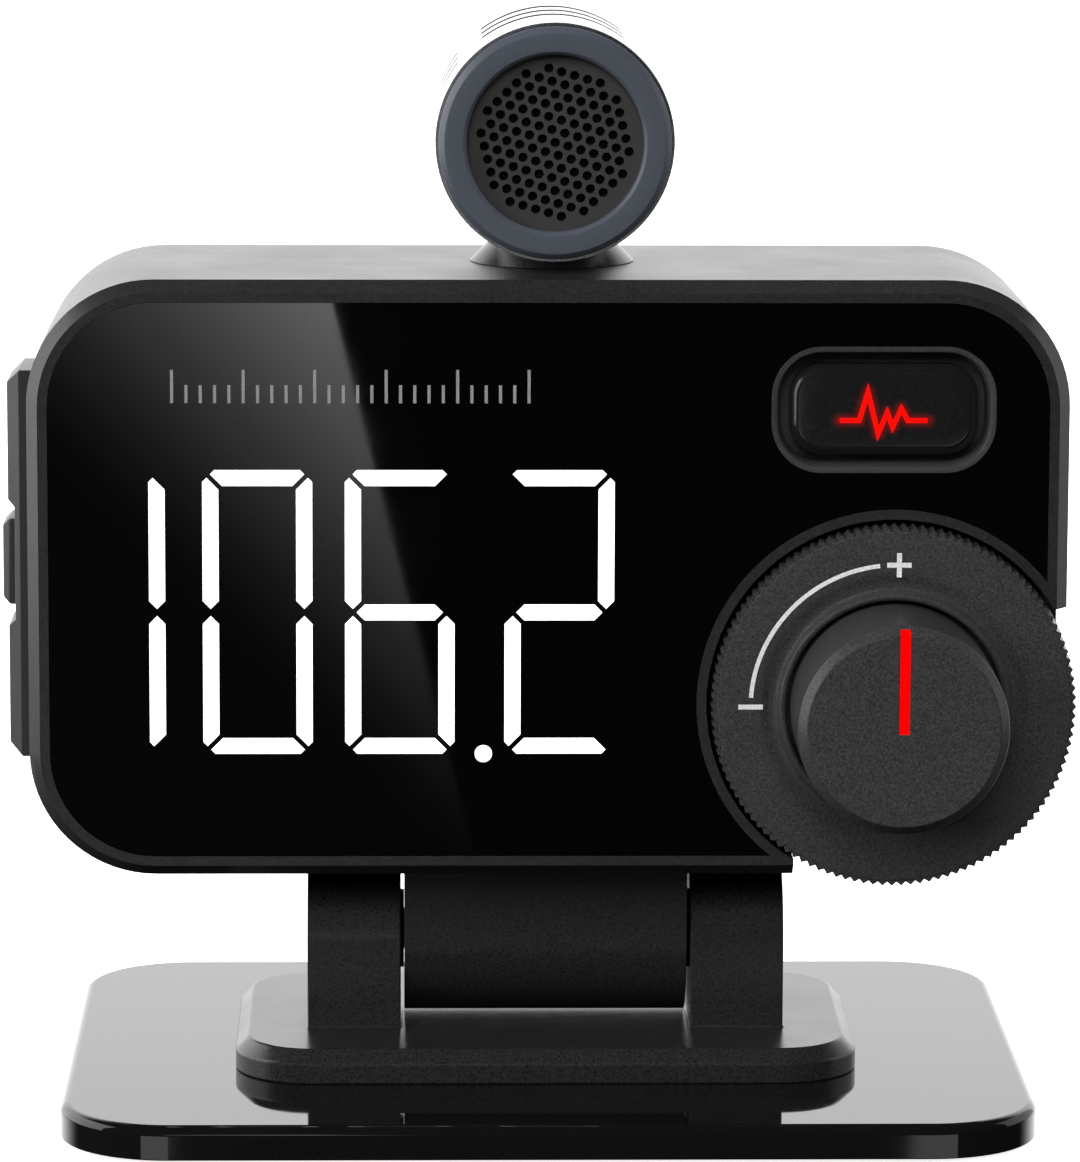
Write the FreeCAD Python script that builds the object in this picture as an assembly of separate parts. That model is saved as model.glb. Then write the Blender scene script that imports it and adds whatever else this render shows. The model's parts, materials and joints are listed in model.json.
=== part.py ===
"""Dashboard radio transmitter with a tilting head, a swivelling microphone and a twin control dial.

Millimetres. X runs to the right as the display is read, Y away from the reader, Z up.
The origin is the centre of the adhesive pad's lower face, under the middle of the base plate.
"""
import FreeCAD, Part
import math
import os
from FreeCAD import Vector

# ---------------------------------------------------------------- fits and wall thicknesses
GLUE_FIT = 0.02          # fixed pieces that meet on a curved or sawn edge
RUNNING_FIT = 0.05       # a shaft in its bearing
SLIDE_GAP = 0.20         # a key or a cap in its window
WALL = 1.6               # head shells
THIN_WALL = 1.2          # ribs, lugs and the dial tower
WELD = 0.2               # how far pieces of one solid run into each other
ROUND_END = 0.01         # short straight stretch left between the two arcs of a round end

# ---------------------------------------------------------------- base
PAD_THICKNESS = 0.9
PAD_POCKET_DEPTH = 0.6
PAD_MARGIN = 2.0
PAD_GAP = 0.25
PLATE_WIDTH = 70.0
PLATE_DEPTH = 52.5
PLATE_THICKNESS = 2.45
PLATE_CORNER = 8.0
PLATE_EDGE = 0.7
FOOT_WIDTH = 45.4
FOOT_DEPTH = 26.8
FOOT_THICKNESS = 2.42
FOOT_CORNER = 5.8
FOOT_BEVEL = 0.95
FOOT_SCREW_PITCH = 7.0
FOOT_SCREW_LENGTH = 5.6
SMALL_SCREW_RADIUS = 1.0
SMALL_HEAD_RADIUS = 1.9
SMALL_HEAD_HEIGHT = 1.0
PAN_HEAD_HEIGHT = 1.2
SLOT_REACH = 1.1
SLOT_HALF_WIDTH = 0.2
SLOT_DEPTH = 0.4
CROSS_DEPTH = 0.6

# ---------------------------------------------------------------- tilt hinge
HINGE_Y = -0.6
HINGE_RADIUS = 6.0
HINGE_FLOOR_GAP = 0.2
TONGUE_WIDTH = 20.74
EAR_GAP = 0.26
EAR_WIDTH = 6.85
WASHER_RADIUS = 2.9
WASHER_GAP = 0.02
BOLT_RADIUS = 1.5
BOLT_HEAD_RADIUS = 2.7
BOLT_HEAD_LENGTH = 2.2
BOLT_HEAD_SINK = 0.2
BOLT_SOCKET_FLATS = 2.5
BOLT_SOCKET_DEPTH = 1.3
NUT_FLATS = 5.5
NUT_LENGTH = 2.4
NUT_POCKET_DEPTH = 2.9
NECK_GAP = 0.33
TONGUE_SCREW_PITCH = 12.0
TONGUE_SCREW_LENGTH = 5.2

# ---------------------------------------------------------------- head shells
HEAD_WIDTH = 74.8
HEAD_HEIGHT = 43.3
HEAD_CORNER = 9.1
HEAD_FRONT = -12.1
SEAM = 3.8
HEAD_REAR = 12.5
FRONT_BEVEL_IN = 0.83
FRONT_BEVEL_BACK = 1.1
BEZEL_BAND = 0.7
REAR_DRAFT = 0.05
REAR_BEVEL = 0.6
LEDGE_WIDTH = 1.3
LEDGE_THICKNESS = 1.2
LIP_GAP = 0.12
LIP_THICKNESS = 0.8
LIP_DEPTH = 1.2
LIP_ROOT = 0.6
LIP_NUT_GAP = 1.0
BOSS_INSET = 5.3
BOSS_RADIUS = 2.4
BOSS_LENGTH = 10.3
COVER_SCREW_LENGTH = 10.4
COVER_SCREW_SINK = 1.6
SHORT_SCREW_ENTRY = 0.4
SCREW_TIP_GAP = 0.2

# ---------------------------------------------------------------- display
PANEL_THICKNESS = 1.2
DIGIT_HEIGHT = 20.66
DIGIT_WIDTH = 7.87
DIGIT_STROKE = 1.16
DIGIT_CUT = 0.255
DIGIT_CORNER_CUT = 0.87
DIGIT_BASE_UP = 9.07
POINT_RADIUS = 0.62
DIGIT_LEFTS = (-28.66, -24.82, -14.62, -3.16)
DIGIT_SEGMENTS = ("ef", "abcdef", "acdefg", "abdeg")
POINT_X = -4.67
DISPLAY_THICKNESS = 3.2
DISPLAY_MARGIN = 1.7
BOARD_THICKNESS = 1.0
DISPLAY_BOARD_RIGHT = 29.0
BOARD_EDGE_GAP = 3.1
BOARD_BOSS_GAP = 0.5

# ---------------------------------------------------------------- dial
WHEEL_RADIUS = 13.15
WHEEL_OVERHANG_SIDE = 0.6
WHEEL_OVERHANG_BELOW = 0.45
WHEEL_PROUD = 1.2
WHEEL_THICKNESS = 8.9
WHEEL_BACK_GAP = 0.4
WHEEL_TEETH = 120
WHEEL_TOOTH_DEPTH = 0.29
WHEEL_RIM = 2.2
WHEEL_WEB = 1.4
WHEEL_HUB_RADIUS = 4.6
NOTCH_GAP = 0.3
NOTCH_BAND = 0.72
NOTCH_LEDGE = 1.2
SIDE_TIP_RISE = 6.9
BOTTOM_TIP_RUN = 7.05
DECK_THICKNESS = 1.4
COLLAR_WIDTH = 0.65
COLLAR_HEIGHT = 0.5
OUTER_SHAFT_RADIUS = 3.0
INNER_SHAFT_RADIUS = 1.5
OUTER_SHAFT_ENTRY = 2.2
KNOB_RADIUS = 7.5
KNOB_GAP = 0.3
KNOB_REACH = 9.6
KNOB_SKIRT_SINK = 0.5
KNOB_TRAVEL = 0.5
KNOB_EDGE = 0.65
KNOB_WALL = 1.3
KNOB_FACE_WALL = 1.6
KNOB_HUB_RADIUS = 3.2
KNOB_HUB_LENGTH = 6.8
POINTER_WIDTH = 0.7
POINTER_DEPTH = 0.4
POINTER_PAST_CENTRE = 0.2
ENCODER_SIZE = 11.0
PLUNGER_RADIUS = 1.2
PLUNGER_LENGTH = 1.3
ENCODER_FLOOR = 0.4
INNER_SHAFT_PAST = 0.8

# ---------------------------------------------------------------- pulse button
BUTTON_X = 23.95
BUTTON_LOWERED = 0.22
TRIM_WIDTH = 16.1
TRIM_HEIGHT = 9.1
TRIM_CORNER = 3.6
TRIM_BAND = 0.4
TRIM_PROUD = 0.15
TRIM_FLANGE = 0.8
TRIM_FLANGE_THICKNESS = 0.7
TRIM_DEPTH = 2.35
TRIM_FLOOR = 0.5
CAP_GAP = 0.9
CAP_THICKNESS = 1.7
CAP_EDGE = 0.55
CAP_PROUD = 0.2
CAP_STEM_RADIUS = 1.2
CAP_STEM_ENTRY = 0.1
BUTTON_TRAVEL = 0.35
BUTTON_OVERTRAVEL = 0.3
ICON_STROKE = 0.35
ICON_DEPTH = 0.35
ICON_POINTS = ((-3.18, -0.75), (-1.78, -0.75), (-1.18, 1.30), (-0.42, -1.70), (0.22, -0.19),
               (0.61, -1.23), (1.23, 0.10), (1.70, -0.75), (3.10, -0.75))
SWITCH_THICKNESS = 1.5
SWITCH_WIDTH = 6.0

# ---------------------------------------------------------------- side keys
ROCKER_LENGTH = 28.3
ROCKER_WIDTH = 7.0
ROCKER_Y = -4.0
ROCKER_DROP = 21.15
ROCKER_PROUD = 1.65
SADDLE_PROUD = 1.15
SADDLE_LENGTH = 8.25
ROCKER_END_BEVEL = 0.95
ROCKER_SIDE_BEVEL = 0.9
ROCKER_THICKNESS = 3.75
ROCKER_END_GAP = 0.25
ROCKER_NUB_LENGTH = 0.5
TRUNNION_RADIUS = 0.7
TRUNNION_LENGTH = 1.4
TRUNNION_INSET = 2.5
TRUNNION_COVER = 0.2
LUG_HALF = 1.6
SIDE_KEY_LENGTH = 6.3
SIDE_KEY_WIDTH = 4.4
SIDE_KEY_PROUD = 2.1
SIDE_KEY_BEVEL = 0.5
SIDE_KEY_GAP = 0.3
SIDE_KEY_TRAVEL = 0.4
SIDE_KEY_NUB_LENGTH = 0.6
TOUCH_GAP = 0.05
KEY_BOARD_INSET = 5.5
KEY_BOARD_THICKNESS = 0.8
KEY_BOARD_LENGTH = 25.2
KEY_SWITCH_PITCH = 10.5
KEY_SWITCH_SIZE = 3.4
KEY_SWITCH_THICKNESS = 2.0
KEY_NUB_RADIUS = 0.8
KEY_NUB_LENGTH = 0.45

# ---------------------------------------------------------------- microphone
MIC_X = 0.45
MIC_Y = 1.6
MIC_RISE = 9.5
MIC_RADIUS = 8.6
MIC_FRONT = -8.7
MIC_LENGTH = 20.6
MIC_WALL = 1.0
RING_RADIUS = 8.35
RING_BORE = 6.35
RING_LENGTH = 1.0
RING_EDGE = 0.4
GRILLE_THICKNESS = 0.5
FOAM_THICKNESS = 1.5
FOAM_GAP = 0.1
CAPSULE_RADIUS = 4.85
CAPSULE_LENGTH = 4.5
BOOT_LENGTH = 3.5
REAR_CAP_LENGTH = 1.0
REAR_CAP_SPIGOT = 2.0
VENT_WIDTH = 1.3
VENT_HALF_ANGLE = 37.0
VENT_SETBACKS = (9.0, 13.0, 17.0)
VENT_MIDDLES = (0.0, 90.0, 180.0)
VENT_CUT_MARGIN = 0.5
PEDESTAL_RADIUS = 6.0
PEDESTAL_RISE = 3.0
STEM_RADIUS = 2.5
SPIGOT_RISE = 3.6
SWIVEL_GAP = 0.05
STEM_NUT_RADIUS = 4.2
STEM_NUT_LENGTH = 1.4
STEM_TAIL = 1.9

# ---------------------------------------------------------------- boards behind the display
MAIN_BOARD_SETBACK = 15.1
MAIN_BOARD_HALF_WIDTH = 30.0
MAIN_BOARD_TOP_GAP = 4.4
MAIN_BOARD_BOTTOM_GAP = 4.0
BOARD_SCREW_LENGTH = 4.0
POST_RADIUS = 1.9
POST_LEFT = -22.0
POST_RIGHT = 14.0
POST_INSET = 2.2
POST_OVER_SOCKET = 6.5
SOCKET_X = -18.0
SOCKET_RISE = 7.15
SOCKET_WIDTH = 8.94
SOCKET_HEIGHT = 3.16
SOCKET_WALL = 0.3
SOCKET_GAP = 0.25
SOCKET_INSET = 0.4
SOCKET_BACK_WALL = 1.0
BLADE_WIDTH = 6.7
BLADE_THICKNESS = 0.7
BLADE_LENGTH = 5.2
CABLE_X = -8.0
CABLE_WIDTH = 9.0
CABLE_THICKNESS = 0.3
CABLE_RISE = -1.0
CABLE_END_GAP = 0.2
CONNECTOR_HEIGHT = 1.6
CONNECTOR_DEPTH = 3.0
CONNECTOR_MARGIN = 1.0
RADIO_X = 3.5
RADIO_RISE = 6.5
RADIO_SIZE = 15.0
RADIO_THICKNESS = 2.6
RADIO_EDGE = 0.4
COIL_X = -12.0
COIL_RISE = -3.0
COIL_SIZE = 7.0
COIL_THICKNESS = 3.2
COIL_EDGE = 0.8
CAN_PLACES = (-10.0, -16.0)
CAN_RISE = 6.0
CAN_RADIUS = 2.5
CAN_HEIGHT = 4.6

# ---------------------------------------------------------------- places worked out from the sizes
PLATE_BOTTOM = PAD_THICKNESS - PAD_POCKET_DEPTH
PLATE_TOP = PLATE_BOTTOM + PLATE_THICKNESS
FOOT_TOP = PLATE_TOP + FOOT_THICKNESS
HINGE_Z = FOOT_TOP + HINGE_FLOOR_GAP + HINGE_RADIUS
HEAD_BOTTOM = HINGE_Z + HINGE_RADIUS + NECK_GAP
HEAD_TOP = HEAD_BOTTOM + HEAD_HEIGHT
HEAD_MIDDLE = (HEAD_BOTTOM + HEAD_TOP) / 2
EAR_INSIDE = TONGUE_WIDTH / 2 + EAR_GAP
EAR_OUTSIDE = EAR_INSIDE + EAR_WIDTH
PANEL_INSET = FRONT_BEVEL_IN + BEZEL_BAND
PANEL_BACK = HEAD_FRONT + PANEL_THICKNESS
LEDGE_BACK = PANEL_BACK + LEDGE_THICKNESS
WHEEL_X = HEAD_WIDTH / 2 + WHEEL_OVERHANG_SIDE - WHEEL_RADIUS
WHEEL_Z = HEAD_BOTTOM - WHEEL_OVERHANG_BELOW + WHEEL_RADIUS
WHEEL_FRONT = HEAD_FRONT - WHEEL_PROUD
WHEEL_BACK = WHEEL_FRONT + WHEEL_THICKNESS
NOTCH_RADIUS = WHEEL_RADIUS + NOTCH_GAP
TOWER_RADIUS = NOTCH_RADIUS + THIN_WALL
DECK_FRONT = WHEEL_BACK + WHEEL_BACK_GAP
DECK_BACK = DECK_FRONT + DECK_THICKNESS
KNOB_FRONT = WHEEL_FRONT - KNOB_REACH
KNOB_BACK = WHEEL_FRONT + KNOB_SKIRT_SINK
RECESS_FLOOR = KNOB_BACK + KNOB_TRAVEL + KNOB_GAP
RECESS_RADIUS = KNOB_RADIUS + KNOB_GAP
WEB_BACK = RECESS_FLOOR + WHEEL_WEB
BUTTON_Z = (HEAD_TOP - PANEL_INSET + WHEEL_Z + NOTCH_RADIUS + NOTCH_BAND) / 2 - BUTTON_LOWERED
DISPLAY_BACK = PANEL_BACK + DISPLAY_THICKNESS
DISPLAY_BOARD_BACK = DISPLAY_BACK + BOARD_THICKNESS
MAIN_BOARD_FRONT = HEAD_FRONT + MAIN_BOARD_SETBACK
MAIN_BOARD_BACK = MAIN_BOARD_FRONT + BOARD_THICKNESS
MAIN_BOARD_TOP = HEAD_TOP - MAIN_BOARD_TOP_GAP
MAIN_BOARD_BOTTOM = HEAD_BOTTOM + MAIN_BOARD_BOTTOM_GAP
COVER_INSIDE = HEAD_REAR - WALL
COVER_SCREW_SEAT = HEAD_REAR - COVER_SCREW_SINK
BOSS_X = HEAD_WIDTH / 2 - BOSS_INSET
BOSS_TOP_Z = HEAD_TOP - BOSS_INSET
BOSS_BOTTOM_Z = HEAD_BOTTOM + BOSS_INSET
BOSS_PLACES = ((-BOSS_X, BOSS_TOP_Z), (BOSS_X, BOSS_TOP_Z), (-BOSS_X, BOSS_BOTTOM_Z), (BOSS_X, BOSS_BOTTOM_Z))
ROCKER_Z = HEAD_TOP - ROCKER_DROP
SIDE_FACE = -HEAD_WIDTH / 2
SIDE_INSIDE = SIDE_FACE + WALL
ROCKER_BACK = SIDE_FACE - ROCKER_PROUD + ROCKER_THICKNESS
TRUNNION_X = SIDE_FACE + TRUNNION_INSET
TRUNNION_BLOCK_BACK = TRUNNION_X + TRUNNION_RADIUS + TRUNNION_COVER
KEY_BOARD_FRONT = SIDE_FACE + KEY_BOARD_INSET
KEY_BOARD_BACK = KEY_BOARD_FRONT + KEY_BOARD_THICKNESS
KEY_SWITCH_FACE = KEY_BOARD_FRONT - KEY_SWITCH_THICKNESS
KEY_NUB_FACE = KEY_SWITCH_FACE - KEY_NUB_LENGTH
MIC_Z = HEAD_TOP + MIC_RISE
MIC_REAR = MIC_FRONT + MIC_LENGTH
RING_BACK = MIC_FRONT + RING_LENGTH
GRILLE_BACK = RING_BACK + GRILLE_THICKNESS
FOAM_BACK = GRILLE_BACK + FOAM_THICKNESS
BARREL_BACK = MIC_REAR - REAR_CAP_LENGTH
BARREL_BORE = MIC_RADIUS - MIC_WALL
BUTTON_FACE = HEAD_FRONT - CAP_PROUD
BUTTON_BACK = BUTTON_FACE + CAP_THICKNESS
TRIM_BACK = HEAD_FRONT + TRIM_DEPTH
SWITCH_FACE = DISPLAY_BACK - SWITCH_THICKNESS
INNER_SHAFT_END = DECK_BACK + OUTER_SHAFT_ENTRY + SLIDE_GAP + INNER_SHAFT_PAST
SOCKET_Z = HEAD_BOTTOM + SOCKET_RISE
SOCKET_FLOOR = MAIN_BOARD_BACK + SOCKET_BACK_WALL
CABLE_Z = HEAD_MIDDLE + CABLE_RISE
POST_PLACES = ((POST_LEFT, MAIN_BOARD_TOP - POST_INSET), (POST_RIGHT, MAIN_BOARD_TOP - POST_INSET),
               (POST_LEFT, SOCKET_Z + POST_OVER_SOCKET), (POST_RIGHT, MAIN_BOARD_BOTTOM + POST_INSET))


# ---------------------------------------------------------------- building blocks
def box(x0, x1, y0, y1, z0, z1):
    """Block between two corners."""
    return Part.makeBox(x1 - x0, y1 - y0, z1 - z0, Vector(x0, y0, z0))


def rod_x(x0, x1, radius, y, z):
    """Cylinder along X."""
    return Part.makeCylinder(radius, x1 - x0, Vector(x0, y, z), Vector(1, 0, 0))


def rod_y(y0, y1, radius, x, z):
    """Cylinder along Y."""
    return Part.makeCylinder(radius, y1 - y0, Vector(x, y0, z), Vector(0, 1, 0))


def rod_z(z0, z1, radius, x, y):
    """Cylinder along Z."""
    return Part.makeCylinder(radius, z1 - z0, Vector(x, y, z0), Vector(0, 0, 1))


def cone_y(y0, y1, radius0, radius1, x, z):
    """Cone along Y from radius0 at y0 to radius1 at y1."""
    return Part.makeCone(radius0, radius1, y1 - y0, Vector(x, y0, z), Vector(0, 1, 0))


def cone_z(z0, z1, radius0, radius1, x, y):
    """Cone along Z from radius0 at z0 to radius1 at z1."""
    return Part.makeCone(radius0, radius1, z1 - z0, Vector(x, y, z0), Vector(0, 0, 1))


def tube_y(y0, y1, outer, inner, x, z):
    """Tube along Y."""
    return rod_y(y0, y1, outer, x, z).cut(rod_y(y0, y1, inner, x, z))


def rounded_wire(half_u, half_v, corner, place):
    """Closed rounded rectangle; place turns the flat point (u, v) into a point in space."""
    edges = []
    turn = corner * math.sqrt(0.5)
    signs = ((1, 1), (-1, 1), (-1, -1), (1, -1))
    for index, (su, sv) in enumerate(signs):
        cu, cv = su * (half_u - corner), sv * (half_v - corner)
        on_u, on_v = (su * half_u, cv), (cu, sv * half_v)
        first, last = (on_u, on_v) if index % 2 == 0 else (on_v, on_u)
        middle = (cu + su * turn, cv + sv * turn)
        edges.append(Part.Arc(place(*first), place(*middle), place(*last)).toShape())
        nu, nv = signs[(index + 1) % 4]
        along_top = (nu * (half_u - corner), nv * half_v)
        down_side = (nu * half_u, nv * (half_v - corner))
        start = along_top if index % 2 == 0 else down_side
        edges.append(Part.makeLine(place(*last), place(*start)))
    return Part.Wire(edges)


def slab_z(width, depth, corner, y, z0, z1):
    """Rounded plate lying flat, centred on x = 0 and the given y."""
    wire = rounded_wire(width / 2, depth / 2, corner, lambda u, v: Vector(u, y + v, z0))
    return Part.Face(wire).extrude(Vector(0, 0, z1 - z0))


def slab_y(half_width, half_height, corner, x, z, y0, y1):
    """Rounded plate standing across Y, centred on (x, z)."""
    wire = rounded_wire(half_width, half_height, corner, lambda u, v: Vector(x + u, y0, z + v))
    return Part.Face(wire).extrude(Vector(0, y1 - y0, 0))


def head_wire(inset, y):
    """Outline of the head, pulled in by inset, in the plane at y."""
    corner = HEAD_CORNER - inset
    return rounded_wire(HEAD_WIDTH / 2 - inset, HEAD_HEIGHT / 2 - inset, corner,
                        lambda u, v: Vector(u, y, HEAD_MIDDLE + v))


def head_slab(inset, y0, y1):
    """Straight slice of the head's outline, pulled in by inset."""
    return Part.Face(head_wire(inset, y0)).extrude(Vector(0, y1 - y0, 0))


def head_taper(inset0, y0, inset1, y1):
    """Slice of the head whose outline changes from one inset to another."""
    return Part.makeLoft([head_wire(inset0, y0), head_wire(inset1, y1)], True, True)


def prism_y(points, y0, y1):
    """Solid with the given (x, z) corners, between two y planes."""
    corners = [Vector(x, y0, z) for x, z in points]
    wire = Part.makePolygon(corners + corners[:1])
    return Part.Face(wire).extrude(Vector(0, y1 - y0, 0))


def prism_z(points, z0, z1):
    """Solid with the given (x, y) corners, between two z planes."""
    corners = [Vector(x, y, z0) for x, y in points]
    wire = Part.makePolygon(corners + corners[:1])
    return Part.Face(wire).extrude(Vector(0, 0, z1 - z0))


def prism_x(points, x0, x1):
    """Solid with the given (y, z) corners, between two x planes."""
    corners = [Vector(x0, y, z) for y, z in points]
    wire = Part.makePolygon(corners + corners[:1])
    return Part.Face(wire).extrude(Vector(x1 - x0, 0, 0))


def join(first, *others):
    """One solid from several that touch or overlap."""
    whole = first
    for other in others:
        whole = whole.fuse(other)
    return whole.removeSplitter()


def ring_points(count, radius, phase):
    """Corners of a regular polygon about the origin."""
    angles = [phase + 2 * math.pi * i / count for i in range(count)]
    return [(radius * math.cos(angle), radius * math.sin(angle)) for angle in angles]


def stroke_outline(points, width):
    """Outline of a mitred line of one width through the given points."""
    left, right = [], []
    count = len(points)
    for i, (x, z) in enumerate(points):
        before = points[i - 1] if i > 0 else None
        after = points[i + 1] if i < count - 1 else None
        normals = []
        for a, b in ((before, (x, z)), ((x, z), after)):
            if a is not None and b is not None:
                length = math.hypot(b[0] - a[0], b[1] - a[1])
                normals.append((-(b[1] - a[1]) / length, (b[0] - a[0]) / length))
        nx = sum(n[0] for n in normals) / len(normals)
        nz = sum(n[1] for n in normals) / len(normals)
        scale = width / 2 / (nx * nx + nz * nz)
        left.append((x + nx * scale, z + nz * scale))
        right.append((x - nx * scale, z - nz * scale))
    return left + right[::-1]


# ---------------------------------------------------------------- base and tilt hinge
def adhesive_pad():
    """Foam pad that sits in the pocket under the plate and stands a little proud of it."""
    inset = 2 * (PAD_MARGIN + PAD_GAP)
    corner = PLATE_CORNER - PAD_MARGIN - PAD_GAP
    return slab_z(PLATE_WIDTH - inset, PLATE_DEPTH - inset, corner, 0, 0, PAD_THICKNESS)


def foot_screw_places():
    """Two screws under each ear."""
    x = (EAR_INSIDE + EAR_OUTSIDE) / 2
    return [(sx * x, HINGE_Y + sy * FOOT_SCREW_PITCH / 2) for sx in (-1, 1) for sy in (-1, 1)]


def base_plate():
    """Rounded plate with a pad pocket below and countersunk holes for the foot's screws."""
    plate = slab_z(PLATE_WIDTH, PLATE_DEPTH, PLATE_CORNER, 0, PLATE_BOTTOM, PLATE_TOP)
    rim = [edge for edge in plate.Edges if min(v.Z for v in edge.Vertexes) > PLATE_TOP - 0.01]
    plate = plate.makeFillet(PLATE_EDGE, rim)
    inset = 2 * PAD_MARGIN
    plate = plate.cut(slab_z(PLATE_WIDTH - inset, PLATE_DEPTH - inset, PLATE_CORNER - PAD_MARGIN, 0,
                             PLATE_BOTTOM, PAD_THICKNESS))
    for x, y in foot_screw_places():
        plate = plate.cut(rod_z(PAD_THICKNESS, PLATE_TOP, SMALL_SCREW_RADIUS + GLUE_FIT, x, y))
        plate = plate.cut(cone_z(PAD_THICKNESS, PAD_THICKNESS + SMALL_HEAD_HEIGHT,
                                 SMALL_HEAD_RADIUS + GLUE_FIT, SMALL_SCREW_RADIUS + GLUE_FIT, x, y))
    return plate


def foot_screws():
    """Four countersunk screws that hold the foot to the plate."""
    screws = []
    for x, y in foot_screw_places():
        head = cone_z(PAD_THICKNESS, PAD_THICKNESS + SMALL_HEAD_HEIGHT,
                      SMALL_HEAD_RADIUS, SMALL_SCREW_RADIUS, x, y)
        shank = rod_z(PAD_THICKNESS, PAD_THICKNESS + FOOT_SCREW_LENGTH, SMALL_SCREW_RADIUS, x, y)
        slot = box(x - SLOT_REACH, x + SLOT_REACH, y - SLOT_HALF_WIDTH, y + SLOT_HALF_WIDTH,
                   PAD_THICKNESS, PAD_THICKNESS + SLOT_DEPTH)
        screws.append(join(head, shank).cut(slot))
    return Part.makeCompound(screws)


def hinge_leaf(x0, x1, z_low, z_high):
    """Barrel about the hinge axis, joined to a block of the same width that ends or starts at the axis."""
    barrel = rod_x(x0, x1, HINGE_RADIUS, HINGE_Y, HINGE_Z)
    return join(barrel, box(x0, x1, HINGE_Y - HINGE_RADIUS, HINGE_Y + HINGE_RADIUS, z_low, z_high))


def hinge_foot():
    """Foot with two ears; the right ear takes the bolt head and the left ear the nut."""
    foot = slab_z(FOOT_WIDTH, FOOT_DEPTH, FOOT_CORNER, HINGE_Y, PLATE_TOP, FOOT_TOP)
    rim = [edge for edge in foot.Edges if min(v.Z for v in edge.Vertexes) > FOOT_TOP - 0.01]
    foot = foot.makeChamfer(FOOT_BEVEL, rim)
    for x0, x1 in ((-EAR_OUTSIDE, -EAR_INSIDE), (EAR_INSIDE, EAR_OUTSIDE)):
        foot = foot.fuse(hinge_leaf(x0, x1, FOOT_TOP - WELD, HINGE_Z))
    foot = foot.removeSplitter()
    foot = foot.cut(rod_x(-EAR_OUTSIDE, EAR_OUTSIDE, BOLT_RADIUS + GLUE_FIT, HINGE_Y, HINGE_Z))
    foot = foot.cut(rod_x(EAR_OUTSIDE - BOLT_HEAD_LENGTH, EAR_OUTSIDE, BOLT_HEAD_RADIUS + PAD_GAP,
                          HINGE_Y, HINGE_Z))
    foot = foot.cut(nut_prism(NUT_FLATS + 2 * GLUE_FIT, -EAR_OUTSIDE, -EAR_OUTSIDE + NUT_POCKET_DEPTH))
    for x, y in foot_screw_places():
        foot = foot.cut(rod_z(PLATE_TOP, PAD_THICKNESS + FOOT_SCREW_LENGTH + GLUE_FIT,
                              SMALL_SCREW_RADIUS + GLUE_FIT, x, y))
    return foot


def nut_prism(flats, x0, x1):
    """Hexagonal prism about the hinge axis."""
    corners = ring_points(6, flats / math.sqrt(3), 0)
    return prism_x([(HINGE_Y + u, HINGE_Z + v) for u, v in corners], x0, x1)


def hinge_bolt():
    """Bolt through both ears and the tongue, with a hexagon socket in its head."""
    head_inside = EAR_OUTSIDE - BOLT_HEAD_LENGTH
    nut_outside = -EAR_OUTSIDE + NUT_POCKET_DEPTH - NUT_LENGTH
    head_outside = EAR_OUTSIDE - BOLT_HEAD_SINK
    shank = rod_x(nut_outside, head_inside + WELD, BOLT_RADIUS, HINGE_Y, HINGE_Z)
    head = rod_x(head_inside, head_outside, BOLT_HEAD_RADIUS, HINGE_Y, HINGE_Z)
    socket = nut_prism(BOLT_SOCKET_FLATS, head_outside - BOLT_SOCKET_DEPTH, head_outside)
    return join(shank, head).cut(socket)


def hinge_nut():
    """Hexagon nut held in the left ear's pocket."""
    inside = -EAR_OUTSIDE + NUT_POCKET_DEPTH
    nut = nut_prism(NUT_FLATS, inside - NUT_LENGTH, inside)
    return nut.cut(rod_x(inside - NUT_LENGTH, inside, BOLT_RADIUS + GLUE_FIT, HINGE_Y, HINGE_Z))


def friction_washers():
    """One thin washer in each gap between the tongue and an ear."""
    inner, outer = TONGUE_WIDTH / 2 + WASHER_GAP, EAR_INSIDE
    washers = []
    for x0, x1 in ((-outer, -inner), (inner, outer)):
        disc = rod_x(x0, x1, WASHER_RADIUS, HINGE_Y, HINGE_Z)
        washers.append(disc.cut(rod_x(x0, x1, BOLT_RADIUS + GLUE_FIT, HINGE_Y, HINGE_Z)))
    return Part.makeCompound(washers)


def tongue_screw_places():
    """Two screws from inside the front housing down into the tongue."""
    return [(-TONGUE_SCREW_PITCH / 2, HINGE_Y), (TONGUE_SCREW_PITCH / 2, HINGE_Y)]


def hinge_tongue():
    """Leaf of the hinge that carries the head."""
    half = TONGUE_WIDTH / 2
    tongue = hinge_leaf(-half, half, HINGE_Z, HEAD_BOTTOM)
    tongue = tongue.cut(rod_x(-half, half, BOLT_RADIUS + RUNNING_FIT, HINGE_Y, HINGE_Z))
    for x, y in tongue_screw_places():
        tongue = tongue.cut(rod_z(HEAD_BOTTOM + WALL - TONGUE_SCREW_LENGTH - GLUE_FIT, HEAD_BOTTOM,
                                  SMALL_SCREW_RADIUS + GLUE_FIT, x, y))
    return tongue


def tongue_screws():
    """Pan-head screws that clamp the tongue to the housing's floor."""
    seat = HEAD_BOTTOM + WALL
    screws = []
    for x, y in tongue_screw_places():
        shank = rod_z(seat - TONGUE_SCREW_LENGTH, seat + WELD, SMALL_SCREW_RADIUS, x, y)
        screws.append(join(shank, rod_z(seat, seat + PAN_HEAD_HEIGHT, SMALL_HEAD_RADIUS, x, y)))
    return Part.makeCompound(screws)


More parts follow.
